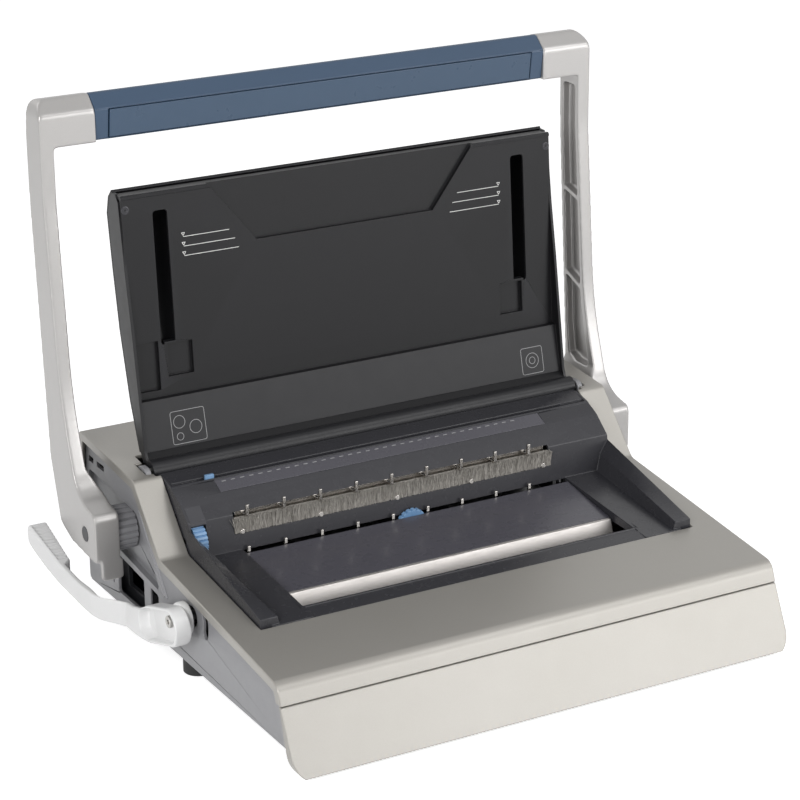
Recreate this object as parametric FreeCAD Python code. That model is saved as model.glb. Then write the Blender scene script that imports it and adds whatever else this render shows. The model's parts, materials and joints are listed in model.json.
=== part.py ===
"""Manual wire binding machine: punch, wire closer, folding lid and chip drawer.

Model axes: X to the right, Y to the back, Z up, millimetres. While a shape is drawn, Y is
measured from the parting line at the front of the cover and Z from the table. The export
moves everything so that the origin is the middle of the footprint on the table.
The handle, the lid and the closer lever are drawn as they stand at rest: handle up, lid
open, closer lever back.
"""
import FreeCAD
import Part
import math
import os

V = FreeCAD.Vector

# Overall sizes
BODY_HALF = 230.0
COVER_FRONT_Z = 56.0
COVER_REAR_Y = 372.0
COVER_REAR_Z = 158.0
GRIP_Y = 356.0
GRIP_Z = 433.0
LID_LENGTH = 224.0

# Walls and fits
COVER_WALL = 3.0
DECK_WALL = 2.5
PANEL_WALL = 3.0
SHEET = 2.5
RUN_FIT = 0.05
GAP = 0.4

# Top cover
COVER_SKIRT = 8.0
COVER_FOLD_Y = 6.0
COVER_FOLD_Z = 72.0
KINK_LOW_Y = 212.0
KINK_LOW_Z = 96.0
KINK_HIGH_Y = 260.0
KINK_HIGH_Z = 148.6
APRON_Y = 378.0
APRON_Z = 104.0
CHEEK_WIDTH = 26.0
OPENING_FRONT_Y = 83.0
OPENING_REAR_Y = 303.0
FLANGE_DEPTH = 6.0

# Side panels
PANEL_INSET = 4.0
PANEL_BOTTOM_Z = 20.0
RECESS_DEPTH = 5.0
WINDOW_FRONT_Y = 225.0
WINDOW_REAR_Y = 309.0
WINDOW_BOTTOM_Z = 31.0
VENT_COUNT = 5
VENT_PITCH = 6.0
VENT_WIDTH = 3.0
FLOOR_THICK = 2.5
FOOT_R = 13.0
FOOT_SIDES = 24
SCREW_HEAD_R = 5.0
VENT_ROWS = (50, 70)
VENTS_PER_ROW = 12

# Steel frames and the punch
FRAME_GAP_IN = 19.0
FRAME_THICK = 4.0
SHAFT_Y = 288.0
SHAFT_Z = 99.0
SHAFT_R = 9.0
BUSH_WALL = 2.0
HUB_R = 19.0
HUB_RIBS = 20
CAM_BASE = 12.0
CAM_RISE = 13.0
CAM_STROKE_DEG = 104.0
CAM_LONG_DEG = 115.0
CAM_X = 100.0
CAM_THICK = 10.0
CAM_FIT = 0.1
THROAT_Y = 248.0
THROAT_GAP = 4.0
DIE_THICK = 8.0
GUIDE_THICK = 4.0
PLATE_BOTTOM_Z = 84.0
PLATE_TOP_Z = 118.0
STOP_BELOW_HOLE = 5.0
HOLE_COUNT = 34
HOLE_PITCH = 8.467
HOLE_CENTRE_X = -17.5
PUNCH_SIDE = 4.0
BAR_THICK = 8.0
BAR_HALF_HEIGHT = 10.0
BAR_TONGUE_THICK = 5.0
SPRING_R = 5.5
SPRING_WIRE = 1.2
SPRING_X = 190.0
SPRING_SEAT = 4.0
BOLT_R = 2.5

# Wire closer
CLOSER_Y = 162.0
CLOSER_Z = 66.0
CLOSER_SHAFT_R = 5.0
GEAR_MODULE = 0.8
GEAR_TEETH = 20
GEAR_BACKLASH = 0.5
GEAR_X = 120.0
GEAR_WIDTH = 7.0
JAW_Y = 137.0
JAW_THICK = 3.5
JAW_TOP_Z = 80.0
JAW_HALF = 155.0
CHANNEL_FRONT_Y = 102.0
CHANNEL_HALF = 157.0
BED_Z = 43.0
BED_THICK = 2.0
ANVIL_Y = 103.0
ANVIL_THICK = 6.0
ANVIL_TOP_Z = 62.0
SHELF_REAR_Y = 203.2
SHELF_REAR_Z = 90.2

# Closer lever
LEVER_BOSS_R = 16.0
LEVER_RING_WALL = 4.2
LEVER_BOSS_FRONT = (156.5, 63.5)
LEVER_BOSS_REAR = (200.5, 49.5)
LEVER_BOSS_OUT = 20.0
LEVER_OUT = 51.0
LEVER_BLADE = 4.0
LEVER_TIP_Y = 372.0
LEVER_JOG_FROM = 79.0
LEVER_JOG_TO = 96.0
LEVER_JOG_R = 12.0
LEVER_PAD_LONG = 50.0
LEVER_PAD_WIDE = 17.2
LEVER_PAD_RIBS = 12

# Chip drawer
DRAWER_HALF = 200.0
DRAWER_DEPTH = 232.0
DRAWER_FLOOR_Z = 23.0
DRAWER_TOP_Z = 42.0
DRAWER_WALL = 2.0
FRONT_OUT = 24.0
FRONT_BOTTOM_Z = 4.0
FRONT_WALL = 4.0
FRONT_RETURN = 12.0

# Handle
ARM_OUT = 33.0
ARM_THICK = 12.0
FOOT_THICK = 22.0
GRIP_HALF = 214.0
INLAY_HALF = 201.0
INLAY_DEPTH = 2.0
TUBE_R = 8.0
TUBE_WALL = 1.5
CAP_R = 6.5
ARM_RIBS = ((150.0, 12.0), (225.0, 14.0), (303.0, 10.0))

# Lid
HINGE_Y = 278.0
HINGE_Z = 147.0
BARREL_R = 9.0
LID_HALF = 206.5
LID_WALL = 2.5
HINGE_PIN_R = 2.5
SLOT_IN_X = 165.0
SLOT_OUT_X = 178.0
SLOT_LOW = 90.0
SLOT_HIGH = 203.0
RECESS_TOP_HALF = 134.0
RECESS_LOW_HALF = 85.0
RECESS_HIGH = 58.0
LID_RECESS_DEPTH = 4.0

# Wheels and small parts of the well
SIZE_WHEEL_X = 1.0
SIZE_WHEEL_R = 13.8
SIZE_WHEEL_THICK = 4.2
SIZE_WHEEL_ABOVE = 5.5
SIZE_WHEEL_RIBS = 18
SPINDLE_R = 2.0
SPINDLE_LONG = 43.0
STOP_NUT_START = 27.0
STOP_NUT_LONG = 7.0
EDGE_WHEEL_R = 15.2
EDGE_WHEEL_RIBS = 24
EDGE_WHEEL_Y = 221.5
EDGE_WHEEL_Z = 103.0
EDGE_WHEEL_WIDTH = 11.0
EDGE_SCREW_R = 3.0
HOOK_COUNT = 9
HOOK_EVERY = 4
BRUSH_LEFT_X = -163.0
BRUSH_RIGHT_X = 142.0
BRUSH_CLIPS = 5
CLIP_Z = 107.2
CLIP_SHANK_R = 1.2
PAPER_SLOT_HALF = 177.7
WINDOW_X = (-165.0, 150.0)

# Places that follow from the sizes above
OPENING_HALF = BODY_HALF - CHEEK_WIDTH
LID_BAY_HALF = LID_HALF + 2.0
PANEL_OUT_X = BODY_HALF - PANEL_INSET
FRAME_IN_X = BODY_HALF - FRAME_GAP_IN
ARM_OUT_X = BODY_HALF + ARM_OUT
ARM_IN_X = ARM_OUT_X - ARM_THICK
FOOT_IN_X = ARM_OUT_X - FOOT_THICK
LEVER_OUT_X = BODY_HALF + LEVER_OUT
LEVER_BOSS_X = BODY_HALF + LEVER_BOSS_OUT
DECK_HALF = OPENING_HALF - 0.5
FRONT_TOP = (0.0, COVER_FRONT_Z - 0.7)
FRONT_LOW = (-FRONT_OUT, FRONT_BOTTOM_Z)
GEAR_R = GEAR_MODULE * GEAR_TEETH / 2
DIE_FRONT_Y = THROAT_Y - THROAT_GAP / 2 - DIE_THICK
DIE_BACK_Y = THROAT_Y - THROAT_GAP / 2
GUIDE_FRONT_Y = THROAT_Y + THROAT_GAP / 2
GUIDE_BACK_Y = GUIDE_FRONT_Y + GUIDE_THICK
BAR_BACK_Y = SHAFT_Y - CAM_BASE
BAR_FRONT_Y = BAR_BACK_Y - BAR_THICK
HOLE_HALF_SPAN = (HOLE_COUNT - 1) / 2 * HOLE_PITCH
SHELF_SLOPE = (SHELF_REAR_Z - JAW_TOP_Z) / (SHELF_REAR_Y - JAW_Y)
ORIGIN = V((ARM_OUT_X - LEVER_OUT_X) / 2, (APRON_Y - FRONT_OUT) / 2, 0)
COVER_LINE = [(0, COVER_FRONT_Z), (COVER_FOLD_Y, COVER_FOLD_Z), (KINK_LOW_Y, KINK_LOW_Z),
              (KINK_HIGH_Y, KINK_HIGH_Z), (COVER_REAR_Y, COVER_REAR_Z), (APRON_Y, APRON_Z)]
WALL_LINE = [(208.6, 91), (213, 122), (230, 136), (246, 143.5)]
TOP_LEDGE_LINE = [(250, 144), (262, 147), (268.5, 147)]
SIDE_LEDGE_LINE = [(OPENING_FRONT_Y + 0.5, 81), (209, 92)]
SHELL_LINE = [(298, 157), (314, 198), (329, 255), (338, 305), (345, 352), (341, 367), (334, 374)]


def place(axis, a, b, level):
    """A point of the plane across the axis: (y, z), (x, z) or (x, y)."""
    if axis == "x":
        return V(level, a, b)
    if axis == "y":
        return V(a, level, b)
    return V(a, b, level)


def toward(axis, length):
    return {"x": V(length, 0, 0), "y": V(0, length, 0), "z": V(0, 0, length)}[axis]


def corner(before, point, after):
    """Start, middle and end of the arc that rounds a corner given as (a, b, radius)."""
    here = V(point[0], point[1], 0)
    back = V(before[0], before[1], 0).sub(here)
    on = V(after[0], after[1], 0).sub(here)
    back.normalize()
    on.normalize()
    half = back.getAngle(on) / 2
    reach = point[2] / math.tan(half)
    middle = back.add(on)
    middle.normalize()
    centre = here.add(middle * (point[2] / math.sin(half)))
    return here.add(back * reach), centre.sub(middle * point[2]), here.add(on * reach)


def outline(axis, points, level):
    """Closed wire through the points, each (a, b) or (a, b, corner radius)."""
    count = len(points)
    stops = []
    for i, point in enumerate(points):
        if len(point) > 2:
            stops.append(corner(points[i - 1], point, points[(i + 1) % count]))
        else:
            here = V(point[0], point[1], 0)
            stops.append((here, None, here))
    edges = []
    for i, (start, middle, end) in enumerate(stops):
        if middle is not None:
            arc = [place(axis, p.x, p.y, level) for p in (start, middle, end)]
            edges.append(Part.Arc(*arc).toShape())
        goal = stops[(i + 1) % count][0]
        if end.sub(goal).Length > 1e-6:
            edges.append(Part.makeLine(place(axis, end.x, end.y, level),
                                       place(axis, goal.x, goal.y, level)))
    return Part.Wire(edges)


def prism(axis, points, low, high):
    return Part.Face(outline(axis, points, low)).extrude(toward(axis, high - low))


def block(x0, x1, y0, y1, z0, z1):
    return Part.makeBox(x1 - x0, y1 - y0, z1 - z0, V(x0, y0, z0))


def rod(axis, a, b, radius, low, high):
    return Part.makeCylinder(radius, high - low, place(axis, a, b, low), toward(axis, 1))


def few_sided(axis, a, b, radius, low, high, sides=12):
    """Round piece or hole drawn with flats, where it is small, repeated and hardly seen."""
    turns = [2 * math.pi * i / sides for i in range(sides)]
    points = [(a + radius * math.cos(turn), b + radius * math.sin(turn)) for turn in turns]
    return prism(axis, points, low, high)


def ribbed_disc(axis, a, b, radius, groove, ribs, low, high):
    """Disc whose rim has broad ribs and narrow grooves of the given depth."""
    points = []
    for i in range(ribs):
        for share, reach in ((0.0, radius), (0.6, radius), (0.7, radius - groove), (0.9, radius - groove)):
            turn = 2 * math.pi * (i + share) / ribs
            points.append((a + reach * math.cos(turn), b + reach * math.sin(turn)))
    return prism(axis, points, low, high)


def sleeve(axis, a, b, outer, inner, low, high):
    return rod(axis, a, b, outer, low, high).cut(rod(axis, a, b, inner, low - 1, high + 1))


def mirrored(shape):
    return shape.mirror(V(0, 0, 0), V(1, 0, 0))


def both_sides(shape):
    return [shape, mirrored(shape)]


def join(shapes):
    total = shapes[0]
    for shape in shapes[1:]:
        total = total.fuse(shape)
    return total.removeSplitter()


def shifted(points, depth):
    """The open line moved to its right-hand side by depth, with mitred corners."""
    moved = []
    last = len(points) - 1
    for i, point in enumerate(points):
        normals = []
        for j in (i - 1, i):
            if 0 <= j < last:
                run = V(points[j + 1][0] - points[j][0], points[j + 1][1] - points[j][1], 0)
                run.normalize()
                normals.append(V(run.y, -run.x, 0))
        total = V(0, 0, 0)
        for normal in normals:
            total = total.add(normal)
        total.normalize()
        reach = depth / total.dot(normals[0])
        moved.append((point[0] + total.x * reach, point[1] + total.y * reach))
    return moved


def band(points, depth):
    """Closed outline of a wall that follows the open line on its right-hand side."""
    return list(points) + list(reversed(shifted(points, depth)))


def rounded_line(points, radii):
    return [(p[0], p[1], r) if r else p for p, r in zip(points, radii)]


def shelf_z(y):
    return JAW_TOP_Z + SHELF_SLOPE * (y - JAW_Y)


def hole_places():
    return [HOLE_CENTRE_X + (i - (HOLE_COUNT - 1) / 2) * HOLE_PITCH for i in range(HOLE_COUNT)]


def hook_places():
    step = HOOK_EVERY * HOLE_PITCH
    return [HOLE_CENTRE_X + (i - (HOOK_COUNT - 1) / 2) * step for i in range(HOOK_COUNT)]


# Outer shell of the machine

def top_cover():
    radii = (0, 12, 8, 8, 6, 0)
    top = rounded_line(COVER_LINE, radii)
    under = shifted(COVER_LINE, COVER_WALL)
    deep = shifted(COVER_LINE, 30)
    cover = prism("x", top + list(reversed(shifted(COVER_LINE, COVER_SKIRT))), -BODY_HALF, BODY_HALF)
    inner_half = BODY_HALF - COVER_WALL
    inner_top = rounded_line(under, (0, 9, 11, 5, 3, 0))
    cover = cover.cut(prism("x", inner_top + list(reversed(deep)), -inner_half, inner_half))
    wide = OPENING_HALF + DECK_WALL
    ring = block(-wide, wide, OPENING_FRONT_Y - DECK_WALL, KINK_LOW_Y + 8, 40, 160)
    ring = ring.cut(block(-OPENING_HALF, OPENING_HALF, OPENING_FRONT_Y, KINK_HIGH_Y + 3, 30, 170))
    cover = cover.fuse(ring.common(prism("x", band(COVER_LINE, FLANGE_DEPTH), -wide, wide)))
    cover = cover.cut(block(-OPENING_HALF, OPENING_HALF, OPENING_FRONT_Y, KINK_HIGH_Y + 2, 30, 170))
    cover = cover.cut(block(-LID_BAY_HALF, LID_BAY_HALF, KINK_HIGH_Y + 2, OPENING_REAR_Y, 30, 170))
    for side in (-1, 1):
        x0, x1 = sorted((side * (LID_BAY_HALF - 1), side * (LID_BAY_HALF + 6.5)))
        cover = cover.cut(block(x0, x1, HINGE_Y - 11, HINGE_Y + 11, 120, 170))
    below = block(-BODY_HALF - 1, BODY_HALF + 1, -1, COVER_REAR_Y + 20, 0, COVER_FRONT_Z)
    return cover.cut(below).removeSplitter()


def recess_points(inset):
    """Outline of the handle's recess in a side panel, drawn inwards by inset."""
    i = inset
    return [(219 + i, 60 + i, 3), (264 + i, 121 - i, 12), (366 - i, 128 - i, 4),
            (366 - i, 77 + i, 4), (311, 70 + i), (226 + i, 61 + i)]


def side_panel(with_closer):
    """Right-hand panel; the left one is its mirror image with the closer's openings."""
    outer = PANEL_OUT_X
    inner = outer - PANEL_WALL
    top = shifted(COVER_LINE, COVER_WALL + GAP)
    slope = FRONT_OUT / (FRONT_TOP[1] - FRONT_BOTTOM_Z)
    front_low_y = FRONT_WALL + 1.5 - slope * (FRONT_TOP[1] - PANEL_BOTTOM_Z)
    points = [(front_low_y, PANEL_BOTTOM_Z), (FRONT_WALL + 1.5, COVER_FRONT_Z - 1.5)]
    points += [(top[1][0] + 1, top[1][1] - 1, 8), top[2], top[3], (top[4][0], top[4][1], 5), (371.3, 132)]
    points += [(371.3, PANEL_BOTTOM_Z, 5)]
    panel = prism("x", points, inner, outer)
    panel = panel.cut(prism("x", recess_points(0), inner - 1, outer + 1))
    dish = prism("x", recess_points(0), inner - RECESS_DEPTH, outer)
    dish = dish.cut(prism("x", recess_points(PANEL_WALL), outer - RECESS_DEPTH, outer + 1))
    panel = panel.fuse(dish)
    for rise in (4.0, 9.0):
        rib = [(219 - rise, 62), (264 - rise, 122), (262 - rise, 123.5), (217 - rise, 63.5)]
        panel = panel.fuse(prism("x", rib, outer - 1, outer + 0.9))
    window = [(WINDOW_FRONT_Y + 2, WINDOW_BOTTOM_Z, 3), (WINDOW_FRONT_Y + 2, 58.5, 3),
              (WINDOW_REAR_Y, 66.5, 3), (WINDOW_REAR_Y, WINDOW_BOTTOM_Z, 3)]
    panel = panel.cut(prism("x", window, inner - 1, outer + 1))
    pillar = [(245, WINDOW_BOTTOM_Z - 4), (245, 61), (258, 62.5), (258, WINDOW_BOTTOM_Z - 4)]
    panel = panel.fuse(prism("x", pillar, inner, outer - 1.2))
    for i in range(VENT_COUNT):
        y = 317 + VENT_PITCH * i
        panel = panel.cut(block(inner - 1, outer + 1, y, y + VENT_WIDTH, 36, 60))
    for y, long in ((330, 14), (352, 10)):
        panel = panel.cut(block(inner - 1, outer + 1, y, y + long, 132.5, 137.5))
    panel = panel.cut(rod("x", SHAFT_Y, SHAFT_Z, SHAFT_R + 3, inner - 9, outer + 1))
    if with_closer:
        panel = panel.cut(rod("x", CLOSER_Y, CLOSER_Z, CLOSER_SHAFT_R + 4, inner - 1, outer + 1))
        panel = panel.cut(stop_slot(inner - 1, outer + 1))
        slit = [(164, 86), (167, 90.5), (168, 90.5), (165, 78), (164, 78)]
        panel = panel.cut(prism("x", slit, outer - 1, outer + 1))
    return panel.removeSplitter()


def stop_slot(low, high):
    """Curved slot about the closer's axis, in front of the lever's boss."""
    middle, half = 25.0, 4.5
    low_turn, high_turn = math.radians(-14), math.radians(44)
    corners = []
    for radius, turn in ((middle + half, low_turn), (middle + half, (low_turn + high_turn) / 2),
                         (middle + half, high_turn), (middle, high_turn + half / middle),
                         (middle - half, high_turn), (middle - half, (low_turn + high_turn) / 2),
                         (middle - half, low_turn), (middle, low_turn - half / middle)):
        corners.append(V(low, CLOSER_Y - radius * math.cos(turn), CLOSER_Z + radius * math.sin(turn)))
    arcs = [(0, 1, 2), (2, 3, 4), (4, 5, 6), (6, 7, 0)]
    edges = [Part.Arc(corners[a], corners[b], corners[c]).toShape() for a, b, c in arcs]
    return Part.Face(Part.Wire(edges)).extrude(V(high - low, 0, 0))


def left_side_panel():
    return mirrored(side_panel(True))


def right_side_panel():
    return side_panel(False)


def rear_panel():
    half = PANEL_OUT_X - PANEL_WALL - RECESS_DEPTH - 0.5
    panel = block(-half, half, 371.5, 374.5, PANEL_BOTTOM_Z, APRON_Z - 3)
    for row in VENT_ROWS:
        for i in range(VENTS_PER_ROW):
            x = -165 + 30 * i
            panel = panel.cut(block(x - 10, x + 10, 371, 375, row, row + 4))
    return panel


def base_pan():
    half = PANEL_OUT_X - PANEL_WALL
    floor_top = PANEL_BOTTOM_Z + FLOOR_THICK
    pan = block(-half, half, 8, 371.5, PANEL_BOTTOM_Z, floor_top)
    for side in (-1, 1):
        x0, x1 = sorted((side * half, side * (half - FLOOR_THICK)))
        pan = pan.fuse(block(x0, x1, 8, 371.5, PANEL_BOTTOM_Z, floor_top + 7))
    pan = pan.fuse(block(-half + 20, half - 20, 369, 371.5, PANEL_BOTTOM_Z, floor_top + 7))
    for x in (-120, -40, 40, 120):
        pan = pan.fuse(block(x - 4, x + 4, 245, 360, PANEL_BOTTOM_Z, floor_top + 3))
    for x, y in foot_places():
        pan = pan.cut(few_sided("z", x, y, BOLT_R, PANEL_BOTTOM_Z - 1, floor_top + 1))
    return pan.removeSplitter()


def foot_places():
    inner = BODY_HALF - 50
    outer = BODY_HALF - 24
    return [(-inner, 30), (inner, 30), (-outer, 196), (outer, 196), (-inner, 345), (inner, 345)]


def rubber_feet():
    feet = []
    for x, y in foot_places():
        foot = few_sided("z", x, y, FOOT_R, 0, PANEL_BOTTOM_Z, FOOT_SIDES)
        foot = foot.cut(few_sided("z", x, y, SCREW_HEAD_R + 1, -1, 6))
        feet.append(foot.cut(few_sided("z", x, y, BOLT_R, 5, PANEL_BOTTOM_Z + 1)))
    return feet


def foot_screws():
    screws = []
    for x, y in foot_places():
        head = few_sided("z", x, y, SCREW_HEAD_R, 3.5, 6)
        shank = few_sided("z", x, y, BOLT_R, 6, PANEL_BOTTOM_Z + FLOOR_THICK)
        screws.append(head.fuse(shank).removeSplitter())
    return screws


# Dark insert of the well

def side_fin():
    """Right-hand fin of the well: flat-topped at the front, steep and high at the rear wall."""
    outer = DECK_HALF
    front = [(outer, 74), (outer, 87.5), (outer - 15.5, 87.5), (outer - 17, 82), (outer - 17, 74)]
    rear = [(outer, 74), (outer, 122), (outer - 7.5, 109.5), (outer - 12.5, 93), (outer - 12.5, 74)]
    ends = []
    for y, points in ((OPENING_FRONT_Y + 2.5, front), (230.0, rear)):
        ends.append(Part.makePolygon([V(x, y, z) for x, z in points + points[:1]]))
    fin = Part.makeLoft(ends, True, True)
    hollow = [(89, 73), (89, 79), (227, 90), (227, 73)]
    return fin.cut(prism("x", hollow, outer - 10, outer - DECK_WALL))


def work_deck():
    half = DECK_HALF
    parts = []
    strip = [(OPENING_FRONT_Y + 0.5, 80.2), (CHANNEL_FRONT_Y, 83)]
    parts.append(prism("x", band(strip, DECK_WALL), -CHANNEL_HALF - 3, CHANNEL_HALF + 3))
    channel_wall_y = CHANNEL_FRONT_Y - DECK_WALL
    parts.append(block(-CHANNEL_HALF, CHANNEL_HALF, channel_wall_y, CHANNEL_FRONT_Y, 46, 82.8))
    ledge = band(SIDE_LEDGE_LINE, DECK_WALL)
    (front, front_z), (rear, rear_z) = SIDE_LEDGE_LINE
    rim = [(front, front_z - 5), (front, front_z), (rear, rear_z), (rear, rear_z - 13)]
    end = [(rear, 84), (rear, rear_z), *WALL_LINE[1:], *TOP_LEDGE_LINE[1:], (268.5, 128), (236, 122),
           (233, 117), (230, 84)]
    for side in (-1, 1):
        x0, x1 = sorted((side * CHANNEL_HALF, side * (half - 10)))
        parts.append(prism("x", ledge, x0, x1))
        x0, x1 = sorted((side * CHANNEL_HALF, side * (CHANNEL_HALF + 3)))
        parts.append(prism("x", rim, x0, x1))
        x0, x1 = sorted((side * (half - DECK_WALL), side * half))
        parts.append(prism("x", end, x0, x1))
    parts += both_sides(side_fin())
    parts.append(prism("x", band(WALL_LINE, DECK_WALL), -half, half))
    parts.append(prism("x", band(TOP_LEDGE_LINE, DECK_WALL), -half, half))
    parts.append(block(-half, half, GUIDE_FRONT_Y, GUIDE_FRONT_Y + DECK_WALL, 128, 143.8))
    parts.append(block(-half, half, DIE_BACK_Y - DECK_WALL, DIE_BACK_Y, 128, 142.5))
    for side in (-1, 1):
        x0, x1 = sorted((side * PAPER_SLOT_HALF, side * half))
        parts.append(block(x0, x1, DIE_BACK_Y - 1, GUIDE_FRONT_Y + 1, 128, 142.5))
    deck = join(parts)
    deck = deck.cut(block(BRUSH_LEFT_X, BRUSH_RIGHT_X, 200, 222, 105.5, 123.4))
    deck = deck.cut(prism("x", band(window_line(), DECK_WALL + 2), WINDOW_X[0], WINDOW_X[1]))
    wheel_x = edge_wheel_x()
    deck = deck.cut(block(wheel_x - 1.5, wheel_x + EDGE_WHEEL_WIDTH + 1, EDGE_WHEEL_Y - 17,
                          EDGE_WHEEL_Y + 17, 70, 131))
    deck = deck.cut(few_sided("x", EDGE_WHEEL_Y, EDGE_WHEEL_Z, EDGE_SCREW_R + GAP, -half - 1, -150))
    deck = deck.cut(block(-PAPER_SLOT_HALF, PAPER_SLOT_HALF, DIE_BACK_Y, GUIDE_FRONT_Y, 100, 150))
    return deck.removeSplitter()


def window_line():
    return [(231, 136.5), (244, 142.6)]


def throat_window():
    return prism("x", band(window_line(), DECK_WALL), WINDOW_X[0] + 0.2, WINDOW_X[1] - 0.2)


def smoke_shelf():
    line = [(JAW_Y + GAP, shelf_z(JAW_Y + GAP)), (SHELF_REAR_Y, SHELF_REAR_Z)]
    half = CHANNEL_HALF - 0.2
    shelf = prism("x", band(line, DECK_WALL), -half, half)
    lip = block(-half, half, SHELF_REAR_Y - 2, SHELF_REAR_Y, SHELF_REAR_Z - 6, SHELF_REAR_Z - 1)
    wheel_gap = block(SIZE_WHEEL_X - 16, SIZE_WHEEL_X + 16, SHELF_REAR_Y - 3, SHELF_REAR_Y + 1, 70,
                      SHELF_REAR_Z - 2.6)
    return shelf.fuse(lip.cut(wheel_gap)).removeSplitter()


def brush_strip():
    """Textured strip in the slot of the rear wall, folded along its lower edge."""
    line = [(211.3, 106.0), (212.5, 119.2)]
    strip = prism("x", band(line, 2.0), BRUSH_LEFT_X + 0.3, BRUSH_RIGHT_X - 0.3)
    for x in clip_places():
        strip = strip.cut(few_sided("y", x, CLIP_Z, CLIP_SHANK_R, 205, 218, 8))
    return strip.removeSplitter()


def clip_places():
    step = (BRUSH_RIGHT_X - BRUSH_LEFT_X - 14) / (BRUSH_CLIPS - 1)
    return [BRUSH_LEFT_X + 7 + i * step for i in range(BRUSH_CLIPS)]


def brush_clips():
    clips = []
    for x in clip_places():
        shank = few_sided("y", x, CLIP_Z, CLIP_SHANK_R, 210.4, 214.4, 8)
        head = few_sided("y", x, CLIP_Z, 2.2, 209.2, 210.4)
        clips.append(head.fuse(shank).removeSplitter())
    return clips


def wire_hooks():
    """One bar behind the rear wall whose hooks come out through the slot and stand up."""
    bar = block(BRUSH_LEFT_X + 3, BRUSH_RIGHT_X - 3, 216.8, 219.6, 116, 123)
    hook = [(217, 119.9), (209, 119.9, 1.5), (206.4, 122), (206.4, 131), (208.8, 131), (208.8, 123.2),
            (210, 122.3), (217, 122.3)]
    pieces = [bar]
    for x in hook_places():
        pieces.append(prism("x", hook, x - 1.3, x + 1.3))
    return join(pieces)


def wire_pins():
    """Two bars under the slit, left and right of the size wheel, with upright pins."""
    bars = []
    low, high = SHELF_REAR_Z - 12, SHELF_REAR_Z - 4
    spans = ((hook_places()[0] - 4, SIZE_WHEEL_X - SIZE_WHEEL_R - 0.8),
             (SIZE_WHEEL_X + SIZE_WHEEL_R + 0.2, hook_places()[-1] + 4))
    for x0, x1 in spans:
        pieces = [block(x0, x1, SHELF_REAR_Y + 1, SHELF_REAR_Y + 4, low, high)]
        for x in hook_places():
            if x0 < x < x1:
                pieces.append(block(x - 1.2, x + 1.2, SHELF_REAR_Y + 1.4, SHELF_REAR_Y + 3.6,
                                    high, SHELF_REAR_Z + 5))
        bars.append(join(pieces))
    return bars


def size_wheel_centre():
    """Middle of the size wheel, whose spindle runs forward under the shelf, parallel to it."""
    run = math.hypot(1, SHELF_SLOPE)
    y = SHELF_REAR_Y + 2.7
    sunk = SIZE_WHEEL_R - SIZE_WHEEL_ABOVE
    return V(SIZE_WHEEL_X, y + sunk * SHELF_SLOPE / run, shelf_z(y) - sunk / run)


def on_spindle(shape):
    """Put a piece that is drawn about the Y axis on the size wheel's spindle."""
    turned = shape.copy()
    turned.rotate(V(0, 0, 0), V(1, 0, 0), math.degrees(math.atan(SHELF_SLOPE)))
    return turned.translated(size_wheel_centre())


def size_wheel():
    half = SIZE_WHEEL_THICK / 2
    disc = ribbed_disc("y", 0, 0, SIZE_WHEEL_R, 1.1, SIZE_WHEEL_RIBS, -half, half)
    spindle = rod("y", 0, 0, SPINDLE_R, -SPINDLE_LONG, 5)
    return on_spindle(disc.fuse(spindle).removeSplitter())


def stop_nut():
    """Block on the spindle that the size wheel moves; it limits the jaw's strap."""
    rear = -STOP_NUT_START
    nut = block(-5, 5, rear - STOP_NUT_LONG, rear, -2.9, 2.9)
    return on_spindle(nut.cut(rod("y", 0, 0, SPINDLE_R + RUN_FIT, rear - 9, rear + 2)))


def edge_wheel_x():
    return -(DECK_HALF - 4)


def edge_wheel():
    """Ribbed wheel in the left fin's slot, on the screw that moves the edge guide."""
    x0 = edge_wheel_x()
    wheel = ribbed_disc("x", EDGE_WHEEL_Y, EDGE_WHEEL_Z, EDGE_WHEEL_R, 1.2, EDGE_WHEEL_RIBS,
                        x0, x0 + EDGE_WHEEL_WIDTH)
    return wheel.cut(rod("x", EDGE_WHEEL_Y, EDGE_WHEEL_Z, EDGE_SCREW_R, x0 - 1, x0 + 20))


def edge_screw():
    x0 = edge_wheel_x()
    return rod("x", EDGE_WHEEL_Y, EDGE_WHEEL_Z, EDGE_SCREW_R, x0 - 2.8, x0 + 45)


def edge_guide():
    """Nut on the screw with an arm that reaches up into the paper slot."""
    x0, x1 = -171.0, -163.0
    body = [(EDGE_WHEEL_Y - 5, EDGE_WHEEL_Z - 6), (EDGE_WHEEL_Y - 5, EDGE_WHEEL_Z + 8),
            (228, 122), (236, 125), (THROAT_Y - 1.6, 125), (THROAT_Y - 1.6, 146.5),
            (THROAT_Y + 1.6, 146.5), (THROAT_Y + 1.6, 119.5), (238, 119.5), (231, 112),
            (EDGE_WHEEL_Y + 7, EDGE_WHEEL_Z + 6), (EDGE_WHEEL_Y + 7, EDGE_WHEEL_Z - 6)]
    guide = prism("x", body, x0, x1)
    return guide.cut(rod("x", EDGE_WHEEL_Y, EDGE_WHEEL_Z, EDGE_SCREW_R + RUN_FIT, x0 - 1, x1 + 1))


# Steel frames and the punch

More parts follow.
